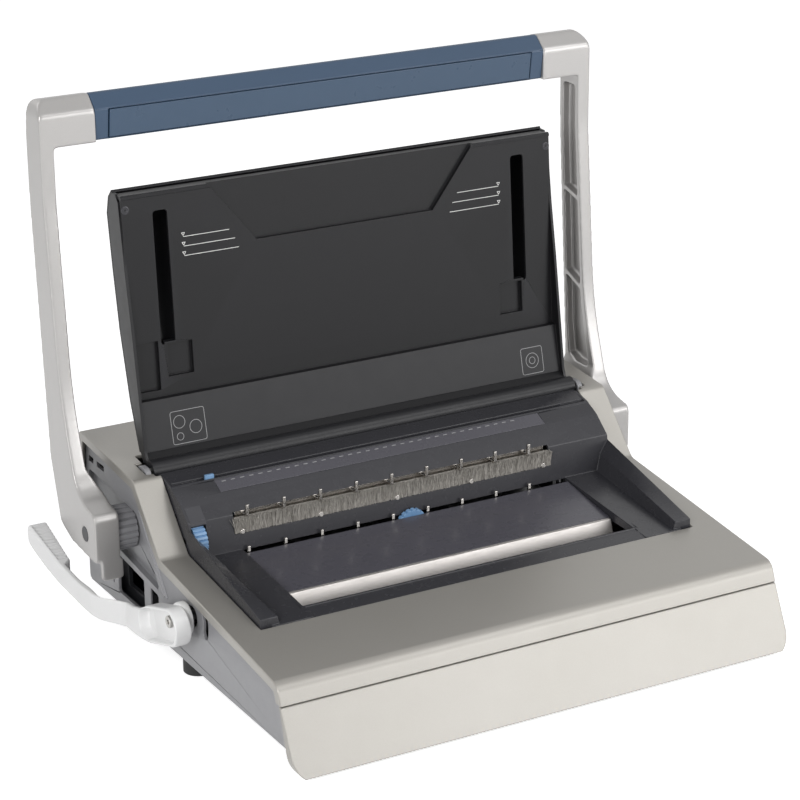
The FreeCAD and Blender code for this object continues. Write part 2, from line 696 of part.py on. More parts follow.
def frame_plate():
    """Right-hand frame with its bearings' holes and the pressure bar's slot."""
    x0, x1 = FRAME_IN_X, FRAME_IN_X + FRAME_THICK
    floor = PANEL_BOTTOM_Z + FLOOR_THICK
    points = [(90, floor), (90, 58), (150, 73), (206, 82), (240, 110), (262, 120), (300, 120), (330, 92),
              (330, floor)]
    plate = prism("x", points, x0, x1)
    plate = plate.cut(rod("x", SHAFT_Y, SHAFT_Z, SHAFT_R + BUSH_WALL, x0 - 1, x1 + 1))
    plate = plate.cut(rod("x", CLOSER_Y, CLOSER_Z, CLOSER_SHAFT_R + BUSH_WALL, x0 - 1, x1 + 1))
    front = BAR_FRONT_Y - CAM_RISE - 0.5
    half = BAR_HALF_HEIGHT - 2 + RUN_FIT
    plate = plate.cut(block(x0 - 1, x1 + 1, front, BAR_FRONT_Y + BAR_TONGUE_THICK + 0.5,
                            SHAFT_Z - half, SHAFT_Z + half))
    light = [(240, 34), (240, 70), (290, 76), (312, 60), (312, 34)]
    plate = plate.cut(prism("x", light, x0 - 1, x1 + 1))
    foot = block(x0 - 14, x0, DRAWER_DEPTH + 6, 310, floor, floor + FLOOR_THICK)
    return plate.fuse(foot).removeSplitter()


def hinge_brackets():
    x0 = LID_BAY_HALF + 0.5
    points = [(HINGE_Y - 10, 120), (HINGE_Y - 10, 152, 8), (HINGE_Y + 10, 152, 8), (HINGE_Y + 10, 120)]
    bracket = prism("x", points, x0, x0 + 5)
    return both_sides(bracket.cut(rod("x", HINGE_Y, HINGE_Z, HINGE_PIN_R + RUN_FIT, x0 - 1, x0 + 6)))


def shaft_bushes():
    bush = sleeve("x", SHAFT_Y, SHAFT_Z, SHAFT_R + BUSH_WALL, SHAFT_R + RUN_FIT,
                  FRAME_IN_X - 1.5, FRAME_IN_X + FRAME_THICK + 1.5)
    return both_sides(bush)


def closer_bushes():
    bush = sleeve("x", CLOSER_Y, CLOSER_Z, CLOSER_SHAFT_R + BUSH_WALL, CLOSER_SHAFT_R + RUN_FIT,
                  FRAME_IN_X - 1.5, FRAME_IN_X + FRAME_THICK + 1.5)
    return both_sides(bush)


def punched_plate(y0, y1, spring_from):
    """Full-width plate with the row of square holes, the springs' bores and bolt holes."""
    plate = block(-FRAME_IN_X, FRAME_IN_X, y0, y1, PLATE_BOTTOM_Z, PLATE_TOP_Z)
    side = PUNCH_SIDE / 2 + RUN_FIT
    tools = []
    for x in hole_places():
        tools.append(block(x - side, x + side, y0 - 1, y1 + 1, SHAFT_Z - side, SHAFT_Z + side))
    for x in (-SPRING_X, SPRING_X):
        tools.append(few_sided("y", x, SHAFT_Z, SPRING_R + 1, spring_from, y1 + 1))
    for x, z in bolt_places():
        tools.append(few_sided("y", x, z, BOLT_R, y0 - 1, y1 + 1))
    return plate.cut(tools)


def bolt_places():
    x = FRAME_IN_X - 6.5
    return [(s * x, z) for s in (-1, 1) for z in (PLATE_BOTTOM_Z + 5, PLATE_TOP_Z - 5)]


def die_plate():
    return punched_plate(DIE_FRONT_Y, DIE_BACK_Y, DIE_BACK_Y - SPRING_SEAT)


def guide_plate():
    return punched_plate(GUIDE_FRONT_Y, GUIDE_BACK_Y, GUIDE_FRONT_Y - 1)


def throat_shim():
    """U-shaped spacer that sets the throat and stops the sheets below the holes."""
    open_half = HOLE_HALF_SPAN + 36
    stop_z = SHAFT_Z - STOP_BELOW_HOLE
    shim = block(-FRAME_IN_X, FRAME_IN_X, DIE_BACK_Y, GUIDE_FRONT_Y, PLATE_BOTTOM_Z, PLATE_TOP_Z)
    y0, y1 = DIE_BACK_Y - 1, GUIDE_FRONT_Y + 1
    shim = shim.cut(block(-open_half, open_half, y0, y1, stop_z, PLATE_TOP_Z + 1))
    for x in (-SPRING_X, SPRING_X):
        shim = shim.cut(few_sided("y", x, SHAFT_Z, SPRING_R + 1, y0, y1))
    for x, z in bolt_places():
        shim = shim.cut(few_sided("y", x, z, BOLT_R, y0, y1))
    return shim


def die_bolts():
    bolts = []
    for x, z in bolt_places():
        head = few_sided("y", x, z, 4.2, DIE_FRONT_Y - 3, DIE_FRONT_Y, 6)
        bolts.append(head.fuse(few_sided("y", x, z, BOLT_R, DIE_FRONT_Y, GUIDE_BACK_Y)).removeSplitter())
    return bolts


def pressure_bar():
    half = FRAME_IN_X - 5
    bar = block(-half, half, BAR_FRONT_Y, BAR_BACK_Y, SHAFT_Z - BAR_HALF_HEIGHT, SHAFT_Z + BAR_HALF_HEIGHT)
    tongue_half = FRAME_IN_X + FRAME_THICK + 1.5
    bar = bar.fuse(block(-tongue_half, tongue_half, BAR_FRONT_Y, BAR_FRONT_Y + BAR_TONGUE_THICK,
                         SHAFT_Z - BAR_HALF_HEIGHT + 2, SHAFT_Z + BAR_HALF_HEIGHT - 2))
    return bar.removeSplitter()


def punch_pins():
    side = PUNCH_SIDE / 2
    tip = GUIDE_FRONT_Y + 0.5
    return [block(x - side, x + side, tip, BAR_FRONT_Y, SHAFT_Z - side, SHAFT_Z + side)
            for x in hole_places()]


def return_springs():
    springs = []
    for x in (-SPRING_X, SPRING_X):
        spring = few_sided("y", x, SHAFT_Z, SPRING_R, DIE_BACK_Y - SPRING_SEAT, BAR_FRONT_Y)
        inside = few_sided("y", x, SHAFT_Z, SPRING_R - SPRING_WIRE, DIE_BACK_Y - SPRING_SEAT - 1,
                           BAR_FRONT_Y + 1)
        springs.append(spring.cut(inside))
    return springs


def cam_point(turn):
    """Point of the cam whose flat follower moves in step with the turn."""
    rate = CAM_RISE / math.radians(CAM_STROKE_DEG)
    reach = CAM_BASE - CAM_FIT + rate * turn
    return (SHAFT_Y - reach * math.cos(turn) + rate * math.sin(turn),
            SHAFT_Z + reach * math.sin(turn) + rate * math.cos(turn))


def punch_cams():
    steps = 9
    rise = [cam_point(math.radians(CAM_LONG_DEG) * i / steps) for i in range(steps + 1)]
    curve = Part.BSplineCurve()
    curve.interpolate([V(0, y, z) for y, z in rise])
    back_r = SHAFT_R + 4
    last = rise[-1]
    first = rise[0]
    tail = [last, (SHAFT_Y + 20, SHAFT_Z + 14), (SHAFT_Y + back_r, SHAFT_Z - 4)]
    nose = [(SHAFT_Y - CAM_BASE + 1.5, SHAFT_Z - 5.5), first]
    low = (SHAFT_Y, SHAFT_Z - back_r)
    edges = [curve.toShape()]
    for a, b in zip(tail, tail[1:]):
        edges.append(Part.makeLine(V(0, *a), V(0, *b)))
    edges.append(Part.Arc(V(0, *tail[-1]), V(0, *low), V(0, *nose[0])).toShape())
    edges.append(Part.makeLine(V(0, *nose[0]), V(0, *nose[1])))
    face = Part.Face(Part.Wire(edges))
    cams = []
    for x in (-CAM_X, CAM_X):
        cam = face.extrude(V(CAM_THICK, 0, 0)).translated(V(x - CAM_THICK / 2, 0, 0))
        cams.append(cam.cut(rod("x", SHAFT_Y, SHAFT_Z, SHAFT_R, x - 20, x + 20)))
    return cams


def punch_shaft():
    return rod("x", SHAFT_Y, SHAFT_Z, SHAFT_R, -ARM_OUT_X + 8, ARM_OUT_X - 8)


# Wire closer

def closer_bed():
    """Folded steel bed under the closing channel, fixed between the frames."""
    half = FRAME_IN_X
    bed = block(-half, half, 97, 190, BED_Z, BED_Z + BED_THICK)
    for y in (97, 188):
        bed = bed.fuse(block(-half, half, y, y + BED_THICK, BED_Z, BED_Z + 9))
    return bed.removeSplitter()


def closer_anvil():
    """Fixed bar against which the jaw presses the wire loops."""
    top = BED_Z + BED_THICK
    points = [(ANVIL_Y, top), (ANVIL_Y, ANVIL_TOP_Z), (ANVIL_Y + ANVIL_THICK, ANVIL_TOP_Z - 3, 2),
              (ANVIL_Y + ANVIL_THICK, top + 4), (ANVIL_Y + ANVIL_THICK + 6, top + 4),
              (ANVIL_Y + ANVIL_THICK + 6, top)]
    return prism("x", points, -JAW_HALF, JAW_HALF)


def closer_jaw():
    """Face plate of the jaw with its stop strap and the strap's forked tail."""
    low = BED_Z + BED_THICK + RUN_FIT
    face = JAW_Y - JAW_THICK
    section = [(JAW_Y, low), (JAW_Y, JAW_TOP_Z), (face, JAW_TOP_Z), (face - 7.5, 60), (face - 7.5, 50),
               (face, 50), (face, low)]
    jaw = prism("x", section, -JAW_HALF, JAW_HALF)
    x = SIZE_WHEEL_X
    tail_y = 197.0
    strap = block(x - 8, x + 8, JAW_Y - 1, tail_y, 71.5, 72.9)
    tail = block(x - 8, x + 8, tail_y - 2, tail_y, 71.5, 83.9)
    tail = tail.cut(block(x - 3.4, x + 3.4, tail_y - 3, tail_y + 1, 75, 90))
    return jaw.fuse([strap, tail]).removeSplitter()


def tooth_half(radius_step):
    """Half width of a tooth at a height over the pitch line, with the backlash."""
    pitch = math.pi * GEAR_MODULE
    return pitch / 4 - GEAR_BACKLASH / 4 - radius_step * math.tan(math.radians(20))


def jaw_racks():
    racks = []
    pitch = math.pi * GEAR_MODULE
    line = CLOSER_Z + GEAR_R
    root = line + 1.3 * GEAR_MODULE
    tip = line - 0.9 * GEAR_MODULE
    top = JAW_TOP_Z - DECK_WALL - 0.3
    teeth = 16
    first = CLOSER_Y - 5 * pitch
    points = [(JAW_Y, top), (JAW_Y, root)]
    for i in range(teeth):
        y = first + i * pitch
        root_half = tooth_half(line - root)
        tip_half = tooth_half(line - tip)
        if y - root_half > JAW_Y:
            points += [(y - root_half, root), (y - tip_half, tip), (y + tip_half, tip), (y + root_half, root)]
    end = first + teeth * pitch
    points += [(end, root), (end, top)]
    for x in (-GEAR_X, GEAR_X):
        racks.append(prism("x", points, x - GEAR_WIDTH / 2 - 1, x + GEAR_WIDTH / 2 + 1))
    return racks


def closer_pinions():
    """Two toothed wheels under the jaw's racks, with a tooth gap straight up at rest."""
    pinions = []
    points = []
    for i in range(GEAR_TEETH):
        middle = math.pi / 2 + 2 * math.pi * (i + 0.5) / GEAR_TEETH
        for side in (-1, 1):
            spots = []
            for step in (-1.2, -0.4, 0.3, 0.9):
                radius = GEAR_R + step * GEAR_MODULE
                bulge = 0.05 * (step ** 2)
                half = tooth_half(step * GEAR_MODULE) - bulge
                spots.append((radius, half / radius))
            if side > 0:
                spots.reverse()
            for radius, angle in spots:
                turn = middle + side * angle
                points.append((CLOSER_Y + radius * math.cos(turn), CLOSER_Z + radius * math.sin(turn)))
    for x in (-GEAR_X, GEAR_X):
        gear = prism("x", points, x - GEAR_WIDTH / 2, x + GEAR_WIDTH / 2)
        pinions.append(gear.cut(rod("x", CLOSER_Y, CLOSER_Z, CLOSER_SHAFT_R, x - 9, x + 9)))
    return pinions


def closer_shaft():
    right = FRAME_IN_X + FRAME_THICK + 3
    left = -(LEVER_BOSS_X - 9)
    shaft = rod("x", CLOSER_Y, CLOSER_Z, CLOSER_SHAFT_R, left, right)
    return shaft.cut(rod("x", CLOSER_Y, CLOSER_Z, 2, left - 1, left + 8))


def lever_plan():
    """Inner plan line of the lever's bar: along the boss, out past the handle's foot, back."""
    boss_x = -LEVER_BOSS_X + LEVER_BLADE
    foot_x = -(ARM_OUT_X + 0.7)
    return [(boss_x, CLOSER_Y), (boss_x - 0.3, CLOSER_Y + LEVER_JOG_FROM, LEVER_JOG_R),
            (foot_x, CLOSER_Y + LEVER_JOG_TO, LEVER_JOG_R), (-LEVER_OUT_X + LEVER_BLADE, LEVER_TIP_Y + 1)]


def lever_ring(radius):
    """Long rounded outline round the closer's axis, dropping to the back."""
    front = V(*LEVER_BOSS_FRONT, 0)
    rear = V(*LEVER_BOSS_REAR, 0)
    along = rear.sub(front).normalize() * radius
    across = V(-along.y, along.x, 0)
    bend = radius - 0.2
    spots = [front.sub(along).add(across), rear.add(along).add(across), rear.add(along).sub(across),
             front.sub(along).sub(across)]
    return [(spot.x, spot.y, bend) for spot in spots]


def lever_bar():
    """Flat bar that dips behind the boss and rises to a broad ribbed pad at its end."""
    plan = lever_plan()
    outer = [(point[0] - LEVER_BLADE,) + tuple(point[1:]) for point in plan]
    blade = prism("z", plan + list(reversed(outer)), 20, 100)
    tip = LEVER_TIP_Y
    side = [(196, 61), (240, 53, 60), (262, 53.5, 60), (tip - 54, 63.5, 60), (tip - 4, 81, 4), (tip, 78, 3),
            (tip, 66, 10), (tip - 22, 53, 60), (tip - 60, 42.5, 60), (262, 34, 80), (240, 31, 60), (196, 36)]
    outline = prism("x", side, -LEVER_OUT_X - 5, -BODY_HALF)
    pad = block(-LEVER_OUT_X, -LEVER_OUT_X + LEVER_PAD_WIDE, tip - LEVER_PAD_LONG, tip, 40, 90)
    step = LEVER_PAD_LONG / LEVER_PAD_RIBS
    for i in range(LEVER_PAD_RIBS - 1):
        y = tip - LEVER_PAD_LONG + (i + 0.6) * step
        z = 63.5 + (81 - 63.5) * (y - tip + 54) / 50
        groove = [(y, z - 1.0), (y + 0.3 * step, z - 1.0), (y + 0.5 * step, z + 6), (y - 0.2 * step, z + 6)]
        pad = pad.cut(prism("x", groove, -LEVER_OUT_X + LEVER_BLADE, -LEVER_OUT_X + LEVER_PAD_WIDE + 1))
    return blade.common(outline), pad.common(outline)


def closer_lever():
    boss_x = -LEVER_BOSS_X
    body_x = -(BODY_HALF + 0.6)
    boss = prism("x", lever_ring(LEVER_BOSS_R), boss_x, body_x - 6)
    neck = rod("x", CLOSER_Y, CLOSER_Z, LEVER_BOSS_R - 2, body_x - 7, body_x)
    hollow = prism("x", lever_ring(LEVER_BOSS_R - LEVER_RING_WALL), boss_x - 1, boss_x + 5.5)
    lever = join([boss, neck, *lever_bar()]).cut(hollow)
    lever = lever.cut(rod("x", CLOSER_Y, CLOSER_Z, CLOSER_SHAFT_R, boss_x + 9, body_x + 1))
    lever = lever.cut(rod("x", CLOSER_Y, CLOSER_Z, 2, boss_x, boss_x + 12))
    return lever.removeSplitter()


def lever_screw():
    floor_x = -LEVER_BOSS_X + 5.5
    head = rod("x", CLOSER_Y, CLOSER_Z, 5, floor_x - 2.8, floor_x)
    head = head.cut(few_sided("x", CLOSER_Y, CLOSER_Z, 2.2, floor_x - 4, floor_x - 1, 6))
    return head.fuse(rod("x", CLOSER_Y, CLOSER_Z, 2, floor_x, floor_x + 10.5)).removeSplitter()


# Chip drawer

def front_slope():
    return (FRONT_TOP[0] - FRONT_LOW[0]) / (FRONT_TOP[1] - FRONT_LOW[1])


def drawer_front():
    """Sloping front panel with large lower corners and thin returns at its sides."""
    top_y, top_z = FRONT_TOP
    low_y, low_z = FRONT_LOW
    across = [(-BODY_HALF, 0, 20), (-BODY_HALF, 60), (BODY_HALF, 60), (BODY_HALF, 0, 20)]
    inner_half = BODY_HALF - 2
    inset = [(-inner_half, 2, 18), (-inner_half, 61), (inner_half, 61), (inner_half, 2, 18)]
    whole = prism("x", [(low_y, low_z), (top_y, top_z), (top_y + FRONT_WALL, top_z),
                        (low_y + FRONT_RETURN, low_z)], -BODY_HALF, BODY_HALF)
    whole = whole.common(prism("y", across, -FRONT_OUT - 1, 20))
    behind = prism("x", [(low_y + FRONT_WALL - front_slope(), low_z - 1), (top_y + FRONT_WALL, top_z),
                         (top_y + 20, top_z), (top_y + 20, low_z - 1)], -inner_half, inner_half)
    return whole.cut(behind.common(prism("y", inset, -30, 30))).removeSplitter()


def chip_drawer():
    """Open box that catches the punched chips, fixed behind the front panel."""
    half = DRAWER_HALF
    front = 9.0
    box = block(-half, half, front, DRAWER_DEPTH, DRAWER_FLOOR_Z, DRAWER_TOP_Z)
    wall = DRAWER_WALL
    box = box.cut(block(-half + wall, half - wall, front + wall, DRAWER_DEPTH - wall, DRAWER_FLOOR_Z + wall,
                        DRAWER_TOP_Z + 1))
    slope = front_slope()
    y_low = FRONT_LOW[0] + FRONT_WALL + slope * (DRAWER_FLOOR_Z + 3 - FRONT_LOW[1])
    y_high = FRONT_LOW[0] + FRONT_WALL + slope * (DRAWER_TOP_Z - FRONT_LOW[1])
    tie = [(y_low, DRAWER_FLOOR_Z + 3), (y_high, DRAWER_TOP_Z), (front + 1, DRAWER_TOP_Z),
           (front + 1, DRAWER_FLOOR_Z + 3)]
    for x in (-150, 0, 150):
        box = box.fuse(prism("x", tie, x - 20, x + 20))
    return box.removeSplitter()


# Handle

def arm_side():
    """Side outline of an arm, from its foot at the shaft to the grip."""
    y, z = GRIP_Y, GRIP_Z
    low = [(266, 81, 3), (266, 121, 6), (301, 128, 35), (326, 203, 300)]
    high = [(y - 15, z - 63, 200), (y - 15, z + 7, 5), (y - 2, z + 19, 5), (y + 12, z + 16, 4),
            (y + 15, z - 9), (y + 15, z - 69, 200)]
    back = [(358, 177, 200), (356, 146, 30), (340, 92, 10), (317, 83, 3), (269, 79, 3)]
    return low + high + back


def front_outline():
    z = GRIP_Z
    return [(ARM_OUT_X, 60), (ARM_OUT_X, z + 19, 14), (GRIP_HALF, z + 19), (GRIP_HALF, z - 20),
            (ARM_IN_X, z - 20, 3), (ARM_IN_X, 148, 6), (FOOT_IN_X, 128, 4), (FOOT_IN_X, 60)]


def handle_arm():
    arm = prism("x", arm_side(), GRIP_HALF, ARM_OUT_X)
    arm = arm.common(prism("y", front_outline(), 255, GRIP_Y + 40))
    y, z = GRIP_Y, GRIP_Z
    pocket = [(315, 138, 3), (331.5, 203), (y - 9.5, z - 63), (y - 9.5, z - 30, 4), (y + 9.5, z - 30, 4),
              (y + 9.5, z - 69), (353, 177), (346, 138, 3)]
    channel = prism("x", pocket, ARM_IN_X - 1, ARM_OUT_X - 4)
    for height, fall in ARM_RIBS:
        low, high = height - fall / 2, height + fall / 2
        rib = [(300, low - 2), (335, low - 2), (370, high - 2), (370, high + 2), (335, low + 2),
               (300, low + 2)]
        channel = channel.cut(prism("x", rib, ARM_IN_X - 2, ARM_OUT_X))
    arm = arm.cut(channel)
    tongue = [(ARM_OUT_X - 5, 63, 3), (ARM_OUT_X - 5, 90), (FOOT_IN_X - 2, 80), (FOOT_IN_X - 3, 63, 3)]
    arm = arm.fuse(prism("y", tongue, 266, 270))
    arm = arm.cut(rod("x", SHAFT_Y, SHAFT_Z, SHAFT_R, FOOT_IN_X - 1, ARM_OUT_X - 8))
    arm = arm.cut(rod("x", SHAFT_Y, SHAFT_Z, CAP_R, ARM_OUT_X - 2, ARM_OUT_X + 1))
    return arm.cut(rod("x", GRIP_Y, GRIP_Z, TUBE_R, GRIP_HALF - 1, ARM_OUT_X - 15)).removeSplitter()


def left_arm():
    return mirrored(handle_arm())


def arm_caps():
    return both_sides(rod("x", SHAFT_Y, SHAFT_Z, CAP_R, ARM_OUT_X - 2, ARM_OUT_X - 0.2))


def pivot_hubs():
    """Ribbed hubs between the panels and the arms' feet."""
    low = PANEL_OUT_X - RECESS_DEPTH + 1.5
    hub = ribbed_disc("x", SHAFT_Y, SHAFT_Z, HUB_R, 1.5, HUB_RIBS, low, FOOT_IN_X)
    return both_sides(hub.cut(rod("x", SHAFT_Y, SHAFT_Z, SHAFT_R, low - 1, FOOT_IN_X + 1)))


def grip_section(inset):
    y, z, i = GRIP_Y, GRIP_Z, inset
    return [(y - 11.5 + i, z - 19 + i, 1.5), (y - 15 + i, z + 7, 2.5), (y - 2, z + 19 - i, 5),
            (y + 12 - i, z + 15 - i, 4), (y + 15 - i, z - 9, 4), (y + 2, z - 22 + i, 5)]


def inlay_line(start, end):
    """Part of the grip's front face, from the share start to the share end of its height."""
    y0, z0 = GRIP_Y - 11.5, GRIP_Z - 19
    y1, z1 = GRIP_Y - 15, GRIP_Z + 7
    return [(y0 + (y1 - y0) * share, z0 + (z1 - z0) * share) for share in (start, end)]


def grip_sleeve():
    grip = prism("x", grip_section(0), -GRIP_HALF, GRIP_HALF)
    pocket = band(shifted(inlay_line(0.02, 0.98), -3), 3 + INLAY_DEPTH)
    grip = grip.cut(prism("x", pocket, -INLAY_HALF - 1, INLAY_HALF + 1))
    return grip.cut(rod("x", GRIP_Y, GRIP_Z, TUBE_R, -GRIP_HALF - 1, GRIP_HALF + 1))


def grip_inlay():
    line = shifted(inlay_line(0.05, 0.95), -0.3)
    return prism("x", band(line, INLAY_DEPTH + 0.3), -INLAY_HALF, INLAY_HALF)


def cross_tube():
    end = ARM_OUT_X - 15
    return sleeve("x", GRIP_Y, GRIP_Z, TUBE_R, TUBE_R - TUBE_WALL, -end, end)


# Lid

def lid_top():
    return HINGE_Z + 6 + LID_LENGTH


def lid_scale(points):
    """Stretch the lid's section from its nominal length to LID_LENGTH."""
    base = HINGE_Z + 6
    return [(y, base + (z - base) * LID_LENGTH / 224.0) for y, z in points]


def lid_shell():
    line = lid_scale(SHELL_LINE)
    line = list(reversed(line))
    shell = prism("x", band(line, LID_WALL), -LID_HALF, LID_HALF)
    return shell.common(lid_front_outline(LID_HALF, 10))


def lid_front_outline(half, radius):
    top = lid_top() + 6
    points = [(-half, 120), (-half, top, radius), (half, top, radius), (half, 120)]
    return prism("y", points, 250, 360)


def lid_plane():
    """Inner face of the lid: a raised lower part up to the step, then the paper's plane."""
    return lid_scale([(291, 158), (300.5, 199), (305.5, 199.5), (318, 372)])


def lid_liner():
    """Inner tray of the lid: plane, side rims, lower step, slots, recess and hinge barrel."""
    half = LID_HALF
    plane = lid_plane()
    back_line = shifted(list(reversed(lid_scale(SHELL_LINE))), LID_WALL + 0.02)
    parts = [prism("x", band(plane, LID_WALL), -half + 1, half - 1)]
    top_z = lid_top()
    rim_front = lid_scale([(284, 152), (288, 162), (304, 262), (313, 311), (321, 366), (326, 372)])
    rim = rim_front + [p for p in back_line if p[1] > 156.5] + [(291, 150)]
    for side in (-1, 1):
        x0, x1 = sorted((side * half, side * (half - LID_WALL)))
        parts.append(prism("x", rim, x0, x1))
    head = band(lid_scale([(317, 371), (329.5, 371.5)]), LID_WALL)
    parts.append(prism("x", head, -half + 1, half - 1))
    parts.append(rod("x", HINGE_Y, HINGE_Z, BARREL_R, -half, half))
    parts.append(prism("x", band([(282, 152), (293.2, 159)], LID_WALL), -half, half))
    liner = join(parts)
    low = lid_top() - LID_LENGTH
    for side in (-1, 1):
        x0, x1 = sorted((side * SLOT_IN_X, side * SLOT_OUT_X))
        slot = [(x0, low + SLOT_LOW, 3), (x0, low + SLOT_HIGH, 3), (x1, low + SLOT_HIGH, 3),
                (x1, low + SLOT_LOW, 3)]
        liner = liner.cut(prism("y", slot, 290, 322))
        x0, x1 = sorted((side * (half - 12), side * (half + 1)))
        liner = liner.cut(rod("x", HINGE_Y, HINGE_Z, HINGE_PIN_R, x0, x1))
    recess = [(-RECESS_TOP_HALF, top_z + 3), (-RECESS_LOW_HALF, top_z - RECESS_HIGH),
              (RECESS_LOW_HALF, top_z - RECESS_HIGH), (RECESS_TOP_HALF, top_z + 3)]
    notch = [(-202, low + 94), (-202, low + 52), (-181, low + 52), (-181, low + 94)]
    for points in (recess, notch, ramp(low), [(-x, z) for x, z in ramp(low)]):
        liner = pocketed(liner, plane, points)
    clear = prism("x", back_line + [(360, 158), (360, 400), (330, 400)], -half - 1, half + 1)
    liner = liner.cut(clear)
    liner = liner.common(lid_front_outline(half, 10))
    return liner.removeSplitter()


def ramp(low):
    """Outline of the shallow run-in below the right-hand slot of the lid."""
    return [(150, low + 90), (150, low + 62), (173, low + 62), (173, low + 90)]


def pocketed(liner, plane, points):
    """Sink a flat-floored pocket with its own walls into the liner's inner face."""
    wall = 2.0
    middle_x = sum(x for x, z in points) / len(points)
    middle_z = sum(z for x, z in points) / len(points)
    grown = [(x + math.copysign(wall, x - middle_x), z + math.copysign(wall, z - middle_z))
             for x, z in points]
    body = prism("x", band(plane, LID_RECESS_DEPTH + wall), -LID_HALF + 2, LID_HALF - 2)
    room = prism("x", band(shifted(plane, -wall), wall + LID_RECESS_DEPTH), -LID_HALF + 1, LID_HALF - 1)
    liner = liner.fuse(body.common(prism("y", grown, 280, 345)))
    return liner.cut(room.common(prism("y", points, 280, 345)))


def hinge_pins():
    pin = rod("x", HINGE_Y, HINGE_Z, HINGE_PIN_R, LID_HALF - 12, LID_BAY_HALF + 5.5)
    return both_sides(pin)


NODES = {
    "top_cover": top_cover,
    "left_side_panel": left_side_panel,
    "right_side_panel": right_side_panel,
    "rear_panel": rear_panel,
    "base_pan": base_pan,
    "rubber_feet": rubber_feet,
    "foot_screws": foot_screws,
    "work_deck": work_deck,
    "throat_window": throat_window,
    "smoke_shelf": smoke_shelf,
    "brush_strip": brush_strip,
    "brush_clips": brush_clips,
    "wire_hooks": wire_hooks,
    "wire_pins": wire_pins,
    "left_frame": lambda: mirrored(frame_plate()),
    "right_frame": frame_plate,
    "hinge_brackets": hinge_brackets,
    "shaft_bushes": shaft_bushes,
    "closer_bushes": closer_bushes,
    "die_plate": die_plate,
    "guide_plate": guide_plate,
    "throat_shim": throat_shim,
    "die_bolts": die_bolts,
    "closer_bed": closer_bed,
    "closer_anvil": closer_anvil,
    "pressure_bar": pressure_bar,
    "punch_pins": punch_pins,
    "return_springs": return_springs,
    "punch_shaft": punch_shaft,
    "punch_cams": punch_cams,
    "pivot_hubs": pivot_hubs,
    "left_arm": left_arm,
    "right_arm": handle_arm,
    "arm_caps": arm_caps,
    "cross_tube": cross_tube,
    "grip_sleeve": grip_sleeve,
    "grip_inlay": grip_inlay,
    "lid_liner": lid_liner,
    "lid_shell": lid_shell,
    "hinge_pins": hinge_pins,
    "closer_lever": closer_lever,
    "lever_screw": lever_screw,
    "closer_shaft": closer_shaft,
    "closer_pinions": closer_pinions,
    "closer_jaw": closer_jaw,
    "jaw_racks": jaw_racks,
    "chip_drawer": chip_drawer,
    "drawer_front": drawer_front,
    "size_wheel": size_wheel,
    "stop_nut": stop_nut,
    "edge_wheel": edge_wheel,
    "edge_screw": edge_screw,
    "edge_guide": edge_guide,
}


def export(name, made):
    """Write one node, moved to the frame whose origin is the middle of the footprint."""
    pieces = made if isinstance(made, list) else [made]
    solids = []
    for piece in pieces:
        solids += piece.Solids
    shape = Part.makeCompound(solids) if len(solids) > 1 else solids[0]
    shape = shape.translated(ORIGIN * -1)
    box = shape.BoundBox
    print("%-18s solids %2d  valid %s  x %.1f %.1f  y %.1f %.1f  z %.1f %.1f" % (
        name, len(solids), shape.isValid(), box.XMin, box.XMax, box.YMin, box.YMax, box.ZMin, box.ZMax))
    shape.exportStep("parts/%s.step" % name)


def main():
    os.makedirs("parts", exist_ok=True)
    for name, make in NODES.items():
        export(name, make())


main()
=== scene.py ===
"""Looks of the manual wire binding machine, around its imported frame.

The scene is in metres. The shapes made here are worked out in model millimetres.
"""
import json
import math

import bmesh
import bpy
import numpy as np
from mathutils import Matrix, Vector


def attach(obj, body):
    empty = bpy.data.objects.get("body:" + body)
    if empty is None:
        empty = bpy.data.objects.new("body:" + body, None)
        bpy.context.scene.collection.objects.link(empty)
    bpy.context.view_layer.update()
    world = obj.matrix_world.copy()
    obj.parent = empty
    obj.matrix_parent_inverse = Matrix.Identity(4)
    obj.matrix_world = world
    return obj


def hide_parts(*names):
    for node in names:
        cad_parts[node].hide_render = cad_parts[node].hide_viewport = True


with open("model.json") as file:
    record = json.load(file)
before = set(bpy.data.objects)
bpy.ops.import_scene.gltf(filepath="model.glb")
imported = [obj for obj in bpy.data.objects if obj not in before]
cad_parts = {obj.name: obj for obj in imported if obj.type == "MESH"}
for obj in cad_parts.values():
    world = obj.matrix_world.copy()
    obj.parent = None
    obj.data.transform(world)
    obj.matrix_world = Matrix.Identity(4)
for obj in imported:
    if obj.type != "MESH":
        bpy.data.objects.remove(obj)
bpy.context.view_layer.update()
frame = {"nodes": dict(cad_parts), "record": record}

MM = 0.001

# Model lengths are measured from the parting line at the front of the cover. The row frame's
# origin is the middle of the footprint, so a model point moves by this much.
ROW_SHIFT = np.array([9.0, -177.0, 0.0])

# Camera, fitted to the photograph: place in metres, turns in degrees, sensor and lens in
# millimetres
CAMERA_PLACE = (-1.0196, -1.7771, 0.9509)
CAMERA_YAW = 29.43
CAMERA_PITCH = 20.01
CAMERA_ROLL = -0.374
SENSOR = 36.0
FOCAL = 119.436
SEES_TO = 50.0


# Helpers

def linear(hex_colour):
    """Linear RGBA of an sRGB colour written as six hex digits."""
    parts = [int(hex_colour[i:i + 2], 16) / 255 for i in (0, 2, 4)]
    rgb = [c / 12.92 if c <= 0.04045 else ((c + 0.055) / 1.055) ** 2.4 for c in parts]
    return (*rgb, 1.0)


def add(tree, kind, values=None, links=None, **attributes):
    """Adds one node: attributes go on the node, values and links on its inputs."""
    made = tree.nodes.new(kind)
    for name, value in attributes.items():
        setattr(made, name, value)
    for key, value in (values or {}).items():
        made.inputs[key].default_value = value
    for key, source in (links or {}).items():
        tree.links.new(source, made.inputs[key])
    return made


